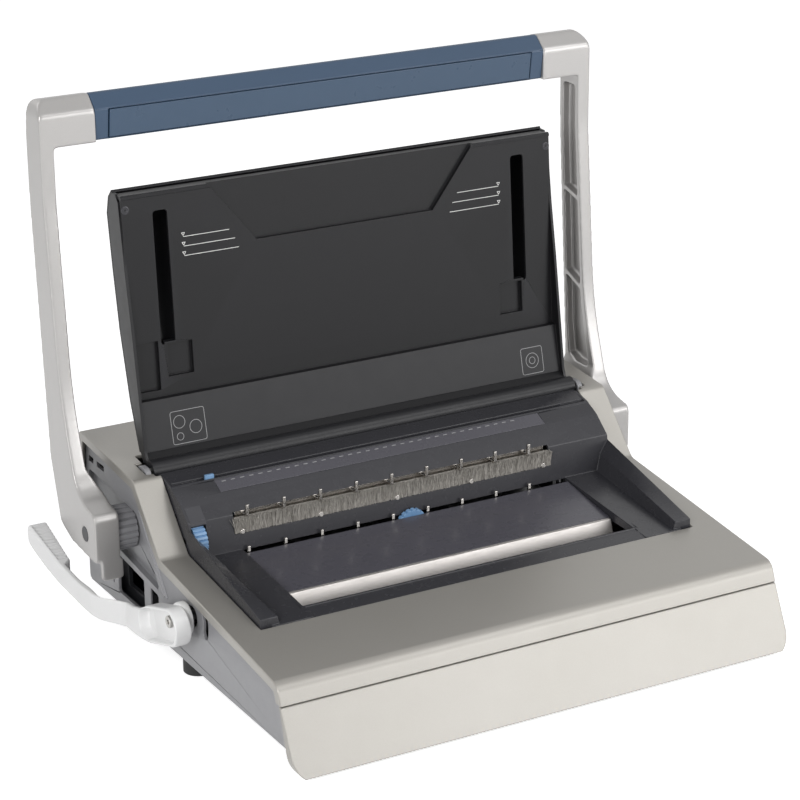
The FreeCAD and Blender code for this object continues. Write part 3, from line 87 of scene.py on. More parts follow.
# Places of inputs and outputs that share a name with others on their node
VALUE = 0
FROM_LOW, FROM_HIGH, TO_LOW, TO_HIGH = 1, 2, 3, 4
COLOUR_A, COLOUR_B, MIXED = 6, 7, 2
FIRST, SECOND, THIRD, BY = 0, 1, 2, 3

# The part of a noise's values that its pattern uses
NOISE_LOW, NOISE_HIGH = 0.3, 0.7

# Moulded plastic: sizes in millimetres of the slow colour drift and of the patches of different
# gloss, the curvature from which an edge turns paler, and how much paler. The paler edge is a
# painted highlight along the edges, with some wear
PLASTIC_DRIFT = 70
PLASTIC_PATCH = 9
EDGE_STARTS, EDGE_FULL, EDGE_PALE = 0.51, 0.62, 0.55
PLASTIC_IOR = 1.52
PLASTIC_COAT_ROUGHNESS = 0.12

# Lacquer: the same sizes, the flakes' size, how much lighter or darker a flake is, its height
LACQUER_DRIFT = 120
LACQUER_PATCH = 12
LACQUER_SPREAD = 0.01
FLAKE_SIZE = 0.35
FLAKE_TONE = 0.03
FLAKE_HEIGHT = 0.001
LACQUER_COAT, LACQUER_COAT_ROUGHNESS = 0.25, 0.22

# Worked metal: patches, how far the lay lowers or raises the roughness, its height
METAL_PATCH = 14
LAY_SMOOTHER, LAY_ROUGHER = 0.06, 0.08
LAY_HEIGHT = 0.012

# Brush pile: clumps per millimetre, their stretch, where dark turns to pale, their height
CLUMPS = 0.9
CLUMP_STRETCH = (1, 1, 0.25)
CLUMP_DARK, CLUMP_PALE = 0.30, 0.72
CLUMP_HEIGHT = 0.5


def start(name):
    """An empty material with the object's own coordinates in millimetres."""
    material = bpy.data.materials.new(name)
    material.use_nodes = True
    tree = material.node_tree
    tree.nodes.clear()
    place = add(tree, "ShaderNodeTexCoord")
    scaled = add(tree, "ShaderNodeVectorMath", {SECOND: (1 / MM,) * 3},
                 {FIRST: place.outputs["Object"]}, operation="MULTIPLY")
    return material, tree, scaled.outputs[0]


def close(material, tree, shader):
    """The material with its shader on the surface."""
    add(tree, "ShaderNodeOutputMaterial", None, {"Surface": shader})
    return material


def moulded(name, colour, shade, edge, roughness, grain, height, coat=0.0, specular=0.5,
            spread=0.03):
    """A moulded plastic: slow colour drift, grain from the tool's surface, and paler edges that
    are a painted highlight with some wear.
    """
    material, tree, place = start(name)
    drift = add(tree, "ShaderNodeTexNoise", {"Scale": 1 / PLASTIC_DRIFT, "Detail": 2.0},
                {"Vector": place})
    tone = add(tree, "ShaderNodeMix", {COLOUR_A: linear(colour), COLOUR_B: linear(shade)},
               {VALUE: drift.outputs[0]}, data_type="RGBA")
    curve = add(tree, "ShaderNodeNewGeometry")
    # Convex edges lightened towards the edge colour: a painted edge highlight, partly wear
    edge_highlight_and_wear = add(tree, "ShaderNodeMapRange",
               {FROM_LOW: EDGE_STARTS, FROM_HIGH: EDGE_FULL, TO_LOW: 0.0, TO_HIGH: EDGE_PALE},
               {VALUE: curve.outputs["Pointiness"]})
    edged = add(tree, "ShaderNodeMix", {COLOUR_B: linear(edge)},
                {VALUE: edge_highlight_and_wear.outputs[0], COLOUR_A: tone.outputs[MIXED]}, data_type="RGBA")
    patch = add(tree, "ShaderNodeTexNoise", {"Scale": 1 / PLASTIC_PATCH, "Detail": 3.0},
                {"Vector": place})
    gloss = add(tree, "ShaderNodeMapRange",
                {FROM_LOW: NOISE_LOW, FROM_HIGH: NOISE_HIGH,
                 TO_LOW: roughness - spread, TO_HIGH: roughness + spread},
                {VALUE: patch.outputs[0]})
    grains = add(tree, "ShaderNodeTexNoise", {"Scale": 1 / grain, "Detail": 2.0},
                 {"Vector": place})
    bump = add(tree, "ShaderNodeBump", {"Strength": 1.0, "Distance": height * MM},
               {"Height": grains.outputs[0]})
    shader = add(tree, "ShaderNodeBsdfPrincipled",
                 {"Specular IOR Level": specular, "IOR": PLASTIC_IOR,
                  "Coat Weight": coat, "Coat Roughness": PLASTIC_COAT_ROUGHNESS},
                 {"Base Color": edged.outputs[MIXED], "Roughness": gloss.outputs[0],
                  "Normal": bump.outputs[0]})
    return close(material, tree, shader.outputs[0])


def lacquered(name, colour, shade, roughness, metallic):
    """Silver lacquer: aluminium flakes of slightly different tilt under a satin clear coat."""
    material, tree, place = start(name)
    drift = add(tree, "ShaderNodeTexNoise", {"Scale": 1 / LACQUER_DRIFT, "Detail": 1.0},
                {"Vector": place})
    tone = add(tree, "ShaderNodeMix", {COLOUR_A: linear(colour), COLOUR_B: linear(shade)},
               {VALUE: drift.outputs[0]}, data_type="RGBA")
    flake = add(tree, "ShaderNodeTexVoronoi", {"Scale": 1 / FLAKE_SIZE}, {"Vector": place})
    level = add(tree, "ShaderNodeMapRange",
                {FROM_LOW: 0.0, FROM_HIGH: 1.0, TO_LOW: 1 - FLAKE_TONE, TO_HIGH: 1 + FLAKE_TONE},
                {VALUE: flake.outputs["Color"]})
    speck = add(tree, "ShaderNodeVectorMath", None,
                {FIRST: tone.outputs[MIXED], BY: level.outputs[0]}, operation="SCALE")
    patch = add(tree, "ShaderNodeTexNoise", {"Scale": 1 / LACQUER_PATCH, "Detail": 3.0},
                {"Vector": place})
    gloss = add(tree, "ShaderNodeMapRange",
                {FROM_LOW: NOISE_LOW, FROM_HIGH: NOISE_HIGH,
                 TO_LOW: roughness - LACQUER_SPREAD, TO_HIGH: roughness + LACQUER_SPREAD},
                {VALUE: patch.outputs[0]})
    bump = add(tree, "ShaderNodeBump", {"Strength": 1.0, "Distance": FLAKE_HEIGHT * MM},
               {"Height": flake.outputs["Distance"]})
    shader = add(tree, "ShaderNodeBsdfPrincipled",
                 {"Metallic": metallic, "Coat Weight": LACQUER_COAT,
                  "Coat Roughness": LACQUER_COAT_ROUGHNESS},
                 {"Base Color": speck.outputs[0], "Roughness": gloss.outputs[0],
                  "Normal": bump.outputs[0]})
    return close(material, tree, shader.outputs[0])


def machined(name, colour, shade, roughness, stretch, lay):
    """A bare or plated metal with the fine parallel lay of grinding, rolling or turning."""
    material, tree, place = start(name)
    drawn_out = add(tree, "ShaderNodeMapping", {"Scale": stretch}, {"Vector": place})
    lines = add(tree, "ShaderNodeTexNoise", {"Scale": 1 / lay, "Detail": 4.0},
                {"Vector": drawn_out.outputs[0]})
    patch = add(tree, "ShaderNodeTexNoise", {"Scale": 1 / METAL_PATCH, "Detail": 3.0},
                {"Vector": place})
    tone = add(tree, "ShaderNodeMix", {COLOUR_A: linear(colour), COLOUR_B: linear(shade)},
               {VALUE: patch.outputs[0]}, data_type="RGBA")
    gloss = add(tree, "ShaderNodeMapRange",
                {FROM_LOW: NOISE_LOW, FROM_HIGH: NOISE_HIGH,
                 TO_LOW: roughness - LAY_SMOOTHER, TO_HIGH: roughness + LAY_ROUGHER},
                {VALUE: lines.outputs[0]})
    bump = add(tree, "ShaderNodeBump", {"Strength": 1.0, "Distance": LAY_HEIGHT * MM},
               {"Height": lines.outputs[0]})
    shader = add(tree, "ShaderNodeBsdfPrincipled", {"Metallic": 1.0},
                 {"Base Color": tone.outputs[MIXED], "Roughness": gloss.outputs[0],
                  "Normal": bump.outputs[0]})
    return close(material, tree, shader.outputs[0])


def brush_pile():
    """Short stiff nylon pile seen on edge: clumps of pale and dark bristles of about a
    millimetre. Single bristles are finer than the render shows."""
    material, tree, place = start("nylon_brush_pile")
    upright = add(tree, "ShaderNodeMapping", {"Scale": CLUMP_STRETCH}, {"Vector": place})
    clump = add(tree, "ShaderNodeTexNoise", {"Scale": CLUMPS, "Detail": 6.0, "Roughness": 0.75},
                {"Vector": upright.outputs[0]})
    tone = add(tree, "ShaderNodeValToRGB", None, {VALUE: clump.outputs[0]})
    dark, pale = tone.color_ramp.elements
    dark.position, dark.color = CLUMP_DARK, linear("6E6A65")
    pale.position, pale.color = CLUMP_PALE, linear("BDB9B2")
    bump = add(tree, "ShaderNodeBump", {"Strength": 1.0, "Distance": CLUMP_HEIGHT * MM},
               {"Height": clump.outputs[0]})
    shader = add(tree, "ShaderNodeBsdfPrincipled", {"Roughness": 0.7},
                 {"Base Color": tone.outputs[0], "Normal": bump.outputs[0]})
    return close(material, tree, shader.outputs[0])


# Materials, named for what the real piece is made of and how. Real flakes, mould grain and
# grinding lines are finer than a tenth of a millimetre; they are drawn as coarse as they need
# to be to show. Grain, height and lay are in millimetres.

LACQUERED = {
    # Aluminium-flake lacquer sprayed on the moulded cover: satin, brightest where it faces a lamp
    "silver_lacquered_abs": dict(colour="9D9A95", shade="98958F", roughness=0.42, metallic=0.5),
    # The same lacquer on the die-cast zinc arms, paler and a little glossier
    "silver_lacquered_zinc": dict(colour="ABA9A8", shade="A6A4A2", roughness=0.34,
                                  metallic=0.55),
}

# Each edge colour is the pale tone of the painted highlight along edges, partly wear
MOULDED = {
    # Side panels, back and hubs from a sparked tool: a fine matt grain
    "spark_grained_grey_abs": dict(colour="88888B", shade="818184", edge="98989B",
                                   roughness=0.4, grain=0.8, height=0.015),
    # Well insert and chip drawer from a smooth tool: dark grey with soft highlights
    "smooth_dark_abs": dict(colour="36363A", shade="333337", edge="505054", roughness=0.26,
                            grain=1.2, height=0.003, specular=0.28),
    # Lid: nearly black with a satin face
    "satin_dark_abs": dict(colour="18181A", shade="151517", edge="36363A", roughness=0.34,
                           grain=0.9, height=0.004, specular=0.24),
    # Smoke shelf and window: dark grey with a violet tint, smooth, with a blurred reflection
    "polished_smoke_polycarbonate": dict(colour="48474F", shade="434249", edge="55545C",
                                         roughness=0.28, grain=3.0, height=0.001, coat=0.1,
                                         specular=0.4, spread=0.02),
    # Grip: soft blue elastomer over a hard core, a dull sheen
    "moulded_blue_elastomer": dict(colour="384D66", shade="34485F", edge="4E647C",
                                   roughness=0.36, grain=0.7, height=0.006, specular=0.4),
    # Panel inlaid in the grip: hard, a shade darker and smoother
    "smooth_blue_abs": dict(colour="354A61", shade="32465C", edge="4C627A", roughness=0.3,
                            grain=1.0, height=0.003, specular=0.4),
    # Wheels and edge guide: light blue and slightly waxy
    "moulded_blue_acetal": dict(colour="6E96C0", shade="6089B2", edge="98B8D8",
                                roughness=0.34, grain=0.6, height=0.01),
    # Closer lever from a polished tool: near white and glossy
    "glossy_white_abs": dict(colour="ECECEC", shade="E9E9E9", edge="F0F0F0", roughness=0.24,
                             grain=1.5, height=0.001, spread=0.01),
    # Feet: black and dull
    "moulded_black_rubber": dict(colour="1E1E1F", shade="191919", edge="2C2C2D",
                                 roughness=0.75, grain=0.5, height=0.03),
    # Frames, pan and pivot caps: powder coat bakes to a fine orange-peel skin
    "powder_coated_steel": dict(colour="26272A", shade="222326", edge="34353A",
                                roughness=0.45, grain=1.4, height=0.02),
    # Pad-printed ink: matt, slightly off white or grey
    "white_pad_print": dict(colour="D8D8D6", shade="CFCFCD", edge="DCDCDA", roughness=0.55,
                            grain=0.6, height=0.002),
    "grey_pad_print": dict(colour="9A9A9B", shade="909092", edge="A2A2A3", roughness=0.5,
                           grain=0.6, height=0.002),
}

MACHINED = {
    # Rolled sheet, bolts and tube with zinc plating: pale, streaked along the rolling
    "zinc_plated_steel": dict(colour="B5B3AF", shade="A7A5A2", roughness=0.34,
                              stretch=(0.05, 1, 1), lay=0.5),
    # Hooks, pins and rivets with bright nickel plating: small sharp highlights
    "nickel_plated_steel": dict(colour="CFCBC6", shade="C2BEB9", roughness=0.2,
                                stretch=(1, 0.1, 1), lay=0.6),
    # Dies, punches and shafts, surface ground: mid grey with a fine straight lay
    "ground_tool_steel": dict(colour="8A898A", shade="7C7B7D", roughness=0.32,
                              stretch=(0.06, 1, 1), lay=0.4),
    # Drawn spring wire under a film of oil: dark grey
    "oiled_spring_steel": dict(colour="77787B", shade="6A6B6E", roughness=0.3,
                               stretch=(1, 0.1, 1), lay=0.5),
    # Jaw of bright rolled steel: broad soft reflections
    "bright_rolled_steel": dict(colour="C6C2BF", shade="BCB8B5", roughness=0.5,
                                stretch=(0.05, 1, 1), lay=0.6),
    # Bushes pressed from bronze powder: dull yellow brown
    "sintered_bronze": dict(colour="A8824B", shade="957242", roughness=0.45,
                            stretch=(1, 1, 1), lay=0.4),
}

MATERIALS = {"nylon_brush_pile": brush_pile()}
for make, rows in ((lacquered, LACQUERED), (moulded, MOULDED), (machined, MACHINED)):
    for name, row in rows.items():
        MATERIALS[name] = make(name, **row)


# The CAD nodes' finishes

# In place of a rounding: a casting, remeshed in voxels and smoothed so that every edge flows
CAST = "cast"
CAST_VOXEL = 1.0
CAST_SMOOTHING = 14

# Each node's finish, and the rounding of its edges in millimetres. The closer lever isn't here,
# because a piece worked out below stands for it.
FINISH = {
    "top_cover": ("silver_lacquered_abs", 0.8),
    "drawer_front": ("silver_lacquered_abs", 0.8),
    "left_side_panel": ("spark_grained_grey_abs", 0.5),
    "right_side_panel": ("spark_grained_grey_abs", 0.5),
    "rear_panel": ("spark_grained_grey_abs", 0.5),
    "hinge_brackets": ("spark_grained_grey_abs", 0.5),
    "pivot_hubs": ("spark_grained_grey_abs", 0.4),
    "base_pan": ("powder_coated_steel", 0.3),
    "left_frame": ("powder_coated_steel", 0.3),
    "right_frame": ("powder_coated_steel", 0.3),
    "closer_anvil": ("powder_coated_steel", 0.3),
    "rubber_feet": ("moulded_black_rubber", 0.5),
    "foot_screws": ("zinc_plated_steel", 0.2),
    "work_deck": ("smooth_dark_abs", 0.5),
    "throat_window": ("polished_smoke_polycarbonate", 0.2),
    "smoke_shelf": ("polished_smoke_polycarbonate", 0.4),
    "brush_strip": ("nylon_brush_pile", 0.0),
    "brush_clips": ("nickel_plated_steel", 0.3),
    "wire_hooks": ("nickel_plated_steel", 0.3),
    "wire_pins": ("nickel_plated_steel", 0.3),
    "shaft_bushes": ("sintered_bronze", 0.2),
    "closer_bushes": ("sintered_bronze", 0.2),
    "stop_nut": ("sintered_bronze", 0.2),
    "die_plate": ("ground_tool_steel", 0.0),
    "guide_plate": ("ground_tool_steel", 0.0),
    "punch_pins": ("ground_tool_steel", 0.0),
    "punch_shaft": ("ground_tool_steel", 0.3),
    "punch_cams": ("ground_tool_steel", 0.3),
    "pressure_bar": ("ground_tool_steel", 0.3),
    "closer_shaft": ("ground_tool_steel", 0.3),
    "closer_pinions": ("ground_tool_steel", 0.0),
    "jaw_racks": ("ground_tool_steel", 0.0),
    "throat_shim": ("zinc_plated_steel", 0.0),
    "die_bolts": ("zinc_plated_steel", 0.3),
    "closer_bed": ("zinc_plated_steel", 0.2),
    "closer_jaw": ("bright_rolled_steel", 0.3),
    "cross_tube": ("zinc_plated_steel", 0.2),
    "hinge_pins": ("zinc_plated_steel", 0.2),
    "lever_screw": ("zinc_plated_steel", 0.2),
    "edge_screw": ("zinc_plated_steel", 0.2),
    "return_springs": ("oiled_spring_steel", 0.0),
    "left_arm": ("silver_lacquered_zinc", CAST),
    "right_arm": ("silver_lacquered_zinc", CAST),
    "arm_caps": ("powder_coated_steel", 0.4),
    "grip_sleeve": ("moulded_blue_elastomer", 0.8),
    "grip_inlay": ("smooth_blue_abs", 0.4),
    "lid_liner": ("satin_dark_abs", 0.25),
    "lid_shell": ("satin_dark_abs", 0.4),
    "chip_drawer": ("smooth_dark_abs", 0.5),
    "size_wheel": ("moulded_blue_acetal", 0.3),
    "edge_wheel": ("moulded_blue_acetal", 0.3),
    "edge_guide": ("moulded_blue_acetal", 0.5),
}

# These nodes keep their triangles as they come, because their flat faces hold openings, and so
# do the castings. The others have each flat region made one face before its edges are rounded.
AS_THEY_COME = {"left_side_panel", "right_side_panel", "smoke_shelf", "wire_pins", "wire_hooks",
                "lid_shell", "lid_liner", "work_deck", "left_arm", "right_arm"}

BODY_OF = {name: body for body, names in frame["record"]["behaviour"]["bodies"].items()
           for name in names}

# Corners nearer than this, in metres, are one corner; degrees up to which neighbours are one
# flat face, and from which an edge stays sharp on a CAD node and on a piece worked out here
WELD = 2e-6
FLAT = 0.3
NODE_CREASE = 30
PIECE_CREASE = 38


def mark_edges(work, degrees):
    """Makes every face smooth, and keeps each edge sharp that turns by more than the angle."""
    for face in work.faces:
        face.smooth = True
    for edge in work.edges:
        if len(edge.link_faces) == 2 and edge.calc_face_angle(0.0) > math.radians(degrees):
            edge.smooth = False


def softened(name, rounding):
    """A CAD node's copy whose loose triangles are merged and whose edges are rounded by the
    given number of millimetres, or flow as on a casting. It stands for the node."""
    source = frame["nodes"][name].data
    work = bmesh.new()
    made = [work.verts.new(vertex.co) for vertex in source.vertices]
    for face in source.polygons:
        work.faces.new([made[i] for i in face.vertices])
    bmesh.ops.remove_doubles(work, verts=work.verts, dist=WELD)
    if name not in AS_THEY_COME:
        bmesh.ops.dissolve_limit(work, angle_limit=math.radians(FLAT), verts=work.verts,
                                 edges=work.edges, delimit=set())
    mark_edges(work, NODE_CREASE)
    data = bpy.data.meshes.new(name + "_finished")
    work.to_mesh(data)
    work.free()
    piece = bpy.data.objects.new(name + "_finished", data)
    bpy.context.scene.collection.objects.link(piece)
    if rounding == CAST:
        voxels = piece.modifiers.new("even_skin", "REMESH")
        voxels.mode = "VOXEL"
        voxels.voxel_size = CAST_VOXEL * MM
        voxels.use_smooth_shade = True
        flow = piece.modifiers.new("flowing_edges", "SMOOTH")
        flow.factor = 0.5
        flow.iterations = CAST_SMOOTHING
    else:
        bevel = piece.modifiers.new("rounded_edges", "BEVEL")
        bevel.width = rounding * MM
        bevel.segments = 2
        bevel.limit_method = "ANGLE"
        bevel.angle_limit = math.radians(NODE_CREASE)
        bevel.use_clamp_overlap = False
        bevel.miter_outer = "MITER_ARC"
        flat = piece.modifiers.new("flat_faces_stay_flat", "WEIGHTED_NORMAL")
        flat.weight = 100
        flat.keep_sharp = True
    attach(piece, BODY_OF[name])
    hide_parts(name)
    return piece


for name, (finish, rounding) in FINISH.items():
    piece = softened(name, rounding) if rounding else frame["nodes"][name]
    piece.data.materials.clear()
    piece.data.materials.append(MATERIALS[finish])


# Pieces worked out here, in model millimetres

def placed(points):
    """Model millimetres as the row frame's metres."""
    return (np.asarray(points, dtype=float) + ROW_SHIFT) * MM


def new_piece(name, corners, faces, body, finish, crease=PIECE_CREASE):
    """A mesh piece with outward faces, smooth but for edges sharper than the crease."""
    data = bpy.data.meshes.new(name)
    data.from_pydata(placed(corners).tolist(), [], faces)
    work = bmesh.new()
    work.from_mesh(data)
    bmesh.ops.remove_doubles(work, verts=work.verts, dist=WELD)
    bmesh.ops.dissolve_degenerate(work, dist=WELD / 2, edges=work.edges)
    bmesh.ops.recalc_face_normals(work, faces=work.faces)
    mark_edges(work, crease)
    work.to_mesh(data)
    work.free()
    piece = bpy.data.objects.new(name, data)
    bpy.context.scene.collection.objects.link(piece)
    data.materials.append(MATERIALS[finish])
    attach(piece, body)
    return piece


def tube_faces(rows, columns, first):
    """Faces of a grid whose columns close on themselves and whose two ends are shut."""
    index = first + np.arange(rows * columns).reshape(rows, columns)
    beside = np.roll(index, -1, axis=1)
    quads = np.stack([index[:-1], beside[:-1], beside[1:], index[1:]], axis=-1)
    return quads.reshape(-1, 4).tolist() + [index[0, ::-1].tolist(), index[-1].tolist()]


def skin(name, grids, body, finish, crease=PIECE_CREASE):
    """One piece from grids of points, each with rows along it and columns round it."""
    faces = []
    first = 0
    for grid in grids:
        faces += tube_faces(grid.shape[0], grid.shape[1], first)
        first += grid.shape[0] * grid.shape[1]
    corners = np.concatenate([grid.reshape(-1, 3) for grid in grids])
    return new_piece(name, corners, faces, body, finish, crease)


def prisms(name, low, high, body, finish, crease=PIECE_CREASE):
    """Many small prisms as one piece: row by row the corners of each one's two ends."""
    count, corners = low.shape[:2]
    index = np.arange(count * 2 * corners).reshape(count, 2, corners)
    beside = np.roll(index, -1, axis=2)
    sides = np.stack([index[:, 0], beside[:, 0], beside[:, 1], index[:, 1]], axis=-1)
    ends = np.concatenate([index[:, 0, ::-1], index[:, 1]])
    new_piece(name, np.stack([low, high], axis=1).reshape(-1, 3),
              sides.reshape(-1, 4).tolist() + ends.tolist(), body, finish, crease)


def ease(share):
    """Zero below 0, one above 1 and an even S between them."""
    share = np.clip(share, 0.0, 1.0)
    return share * share * (3 - 2 * share)


def flowing(y, points, window):
    """Straight runs between the points, rounded by a running mean of the given length."""
    step = 0.25
    fine = np.arange(y.min() - window, y.max() + window, step)
    line = np.interp(fine, [a for a, b in points], [b for a, b in points])
    weights = np.hanning(int(window / step) + 2)
    half = len(weights) // 2
    line = np.convolve(np.pad(line, half, "edge"), weights / weights.sum(), "same")
    return np.interp(y, fine, line[half:half + len(fine)])


# Closer lever, as long and as thick as the CAD node. The boss is a slot shape in side view, from
# a round front to a rear centre, with the bowl hollowed in its outer face.
AXLE = (162.0, 66.0)
BOSS_FRONT = (156.5, 63.5)
BOSS_REAR = (200.5, 49.5)
BOSS_R = 16.0
BOWL_TO = 216.0
BOWL_R = 13.6
BOWL_SOFT = 1.4
BOWL_DEPTH_FRONT, BOWL_DEPTH_REAR = 5.4, 8.8

# Lines of the side view as (y, z) and of the plan as (y, x). The plan steps outwards between
# y 241 and 265, where the lever passes the handle's arm.
LEVER_HIGH = ((161.3, 78.6), (196, 67.6), (212, 58.8), (228, 54.2), (242, 52.6), (260, 54.4),
              (294, 58.8), (318, 63.8), (334, 69), (350, 74.4), (365, 79.4), (374, 82))
LEVER_LOW = ((151.7, 48.3), (195.7, 34.3), (212, 31.6), (228, 30.4), (242, 30.6), (261, 34.2),
             (288, 39.4), (320, 45), (344, 52), (364, 60), (374, 65))
LEVER_OUTER = ((140, -250), (241, -250), (249, -256.5), (257, -265), (265, -269.4), (280, -272),
               (374, -281))
LEVER_INNER = ((140, -236.6), (206, -236.6), (216, -245), (240, -245.6), (248, -253.6),
               (256, -263.2), (261, -264.4), (374, -264.4))
LINE_WINDOW, INNER_WINDOW = 8, 7

# Behind the step the shank thins to this, with its inner face no further in than the pad's
SHANK_FROM, SHANK_EASE = 262.0, 30.0
SHANK_THICK = 5.5
PAD_INNER = -263.8

# Ribbed pad: where it begins and ends, the ribs' pitch, the groove's depth, its place and half
# width as shares of the pitch, the plain rim along the outer edge, and the part of a section
# that counts as its top, by how far it faces up
PAD_FROM, PAD_END, PAD_EASE = 322.0, 372.0, 6.0
PAD_ROUND = 4.0
PAD_PITCH = 50.0 / 12
GROOVE_DEPTH = 3.4
GROOVE_AT, GROOVE_HALF, GROOVE_SOFT = 0.7, 0.42, 0.22
GROOVE_RIM = 2.4
TOP_FROM, TOP_EASE = 0.2, 0.5

# Radius of the long edges, in the boss and what the shank adds
EDGE_R, EDGE_R_MORE = 1.7, 0.3
EDGE_R_FROM, EDGE_R_EASE = 200.0, 20.0

# Stations on the round front and the pad's end, and millimetres between those on the bowl, the
# shank and the ribs
CAP_ROWS, END_ROWS = 44, 8
BOWL_STEP, SHANK_STEP, RIB_STEP = 0.36, 1.2, 0.4

# Points along the outer, lower, inner and upper side of a section, and in each rounded corner
OUTER_POINTS, LOWER_POINTS, INNER_POINTS, UPPER_POINTS = 78, 9, 15, 17
CORNER_POINTS = 7

# Neck behind the boss, (x, radius), turned about the axle
NECK = ((-238.0, 13.2), (-236.4, 14.0), (-231.6, 14.0), (-230.9, 13.7), (-230.6, 13.0))
NECK_COLUMNS = 48


def section_walk():
    """Walk round a rounded rectangle: for each point the place of its corner's or side's
    middle line, from -1 to 1 in x and z, and the direction in which the radius is added."""
    bend = np.radians(np.linspace(0, 90, CORNER_POINTS + 2)[1:-1])
    sides = ((-1, 1, 0, -2, OUTER_POINTS, 180), (-1, -1, 2, 0, LOWER_POINTS, 270),
             (1, -1, 0, 2, INNER_POINTS, 0), (1, 1, -2, 0, UPPER_POINTS, 90))
    rows = []
    for x, z, run_x, run_z, count, degrees in sides:
        share = np.linspace(0, 1, count)
        turn = np.full(count, math.radians(degrees))
        rows.append(np.stack([x + run_x * share, z + run_z * share, np.cos(turn), np.sin(turn)]))
        turn = bend + math.radians(degrees)
        end_x, end_z = np.full(CORNER_POINTS, x + run_x), np.full(CORNER_POINTS, z + run_z)
        rows.append(np.stack([end_x, end_z, np.cos(turn), np.sin(turn)]))
    return np.concatenate(rows, axis=1)


def lever_rows():
    """Stations along Y, close together where an end, the bowl or the ribs need them."""
    cap = BOSS_FRONT[0] - BOSS_R * np.cos(np.linspace(0, np.pi / 2, CAP_ROWS))
    bowl = np.arange(BOSS_FRONT[0] + 0.2, BOWL_TO, BOWL_STEP)
    shank = np.arange(BOWL_TO, PAD_FROM - 0.6, SHANK_STEP)
    ribs = np.arange(PAD_FROM - 0.5, PAD_END - PAD_ROUND - 0.2, RIB_STEP)
    end = PAD_END - PAD_ROUND * (1 - np.sin(np.linspace(0, np.pi / 2, END_ROWS)))
    return np.concatenate([cap, bowl, shank, ribs, end])


def closer_lever():
    """Skin of the lever: at each station across Y a rounded rectangle between the inner and
    outer plan lines and the lower and upper side lines. The front end's height follows a
    circle. The outer face sinks by the eased distance inside an oval round the boss's middle
    line, and the pad's top drops between its ribs. A short neck is turned about the axis."""
    y = lever_rows()
    circle = np.sqrt(np.clip(BOSS_R ** 2 - (y - BOSS_FRONT[0]) ** 2, 0, None))
    high = np.where(y < LEVER_HIGH[0][0], BOSS_FRONT[1] + circle,
                    flowing(y, LEVER_HIGH, LINE_WINDOW))
    low = np.where(y < LEVER_LOW[0][0], BOSS_FRONT[1] - circle,
                   flowing(y, LEVER_LOW, LINE_WINDOW))
    outer = flowing(y, LEVER_OUTER, LINE_WINDOW)
    inner = flowing(y, LEVER_INNER, INNER_WINDOW)
    thin = np.minimum(outer + SHANK_THICK, PAD_INNER)
    inner = inner + (thin - inner) * ease((y - SHANK_FROM) / SHANK_EASE)
    inner = inner + (PAD_INNER - inner) * ease((y - PAD_FROM + PAD_EASE) / PAD_EASE)
    closing = np.clip((y - PAD_END + PAD_ROUND) / PAD_ROUND, 0, 0.999)
    middle_x, half_x = (outer + inner) / 2, (inner - outer) / 2
    middle_z, half_z = (high + low) / 2, (high - low) / 2 * (1 - closing ** 4) ** 0.25
    radius = np.minimum(EDGE_R + EDGE_R_MORE * ease((y - EDGE_R_FROM) / EDGE_R_EASE),
                        0.98 * np.minimum(half_x, half_z))
    side_x, side_z, out_x, out_z = section_walk()
    x = middle_x[:, None] + side_x * (half_x - radius)[:, None] + out_x * radius[:, None]
    z = middle_z[:, None] + side_z * (half_z - radius)[:, None] + out_z * radius[:, None]
    y = np.repeat(y[:, None], len(side_x), axis=1)

    run = np.array(BOSS_REAR) - np.array(BOSS_FRONT)
    share = ((y - BOSS_FRONT[0]) * run[0] + (z - BOSS_FRONT[1]) * run[1]) / run.dot(run)
    share = np.clip(share, 0, 1)
    gap = np.hypot(y - BOSS_FRONT[0] - share * run[0], z - BOSS_FRONT[1] - share * run[1])
    outer_face = (side_x == -1) & (np.abs(out_x + 1) < 1e-9)
    depth = BOWL_DEPTH_FRONT + (BOWL_DEPTH_REAR - BOWL_DEPTH_FRONT) * share
    x = x + outer_face * ease((BOWL_R - gap) / BOWL_SOFT) * depth

    phase = ((y - PAD_FROM) / PAD_PITCH) % 1.0
    groove = ease((GROOVE_HALF - np.abs(phase - GROOVE_AT)) / GROOVE_SOFT)
    on_top = ease((out_z - TOP_FROM) / TOP_EASE) * ease(x - outer[:, None] - GROOVE_RIM)
    ribbed = (y > PAD_FROM) & (y < PAD_END - PAD_ROUND)
    z = z - GROOVE_DEPTH * groove * on_top * ribbed
    body = np.stack([x, y, z], axis=-1)

    turn = np.linspace(0, 2 * np.pi, NECK_COLUMNS, endpoint=False)
    across, radii = np.array(NECK).T[:, :, None]
    neck = np.stack([np.repeat(across, NECK_COLUMNS, axis=1), AXLE[0] + radii * np.cos(turn),
                     AXLE[1] + radii * np.sin(turn)], axis=-1)
    piece = skin("closer_lever_finished", [body, neck], "closer",
                 "glossy_white_abs", crease=85)
    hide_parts("closer_lever")


# Pile in front of the brush strip: the strip of roots at the slot's lower edge, the mean and
# spread of each bristle's lean along X and of its height, the span of its lean in Y
BRISTLES = 2400
ROOT_X, ROOT_Y, ROOT_Z = (-162.6, 143.2), (209.9, 211.0), (105.7, 106.8)
LEAN_X, LEAN_Y, HEIGHT = (0, 2.2), (-1.2, 0.5), (12.6, 1.0)
ROOT_R, TIP_R = 0.42, 0.2


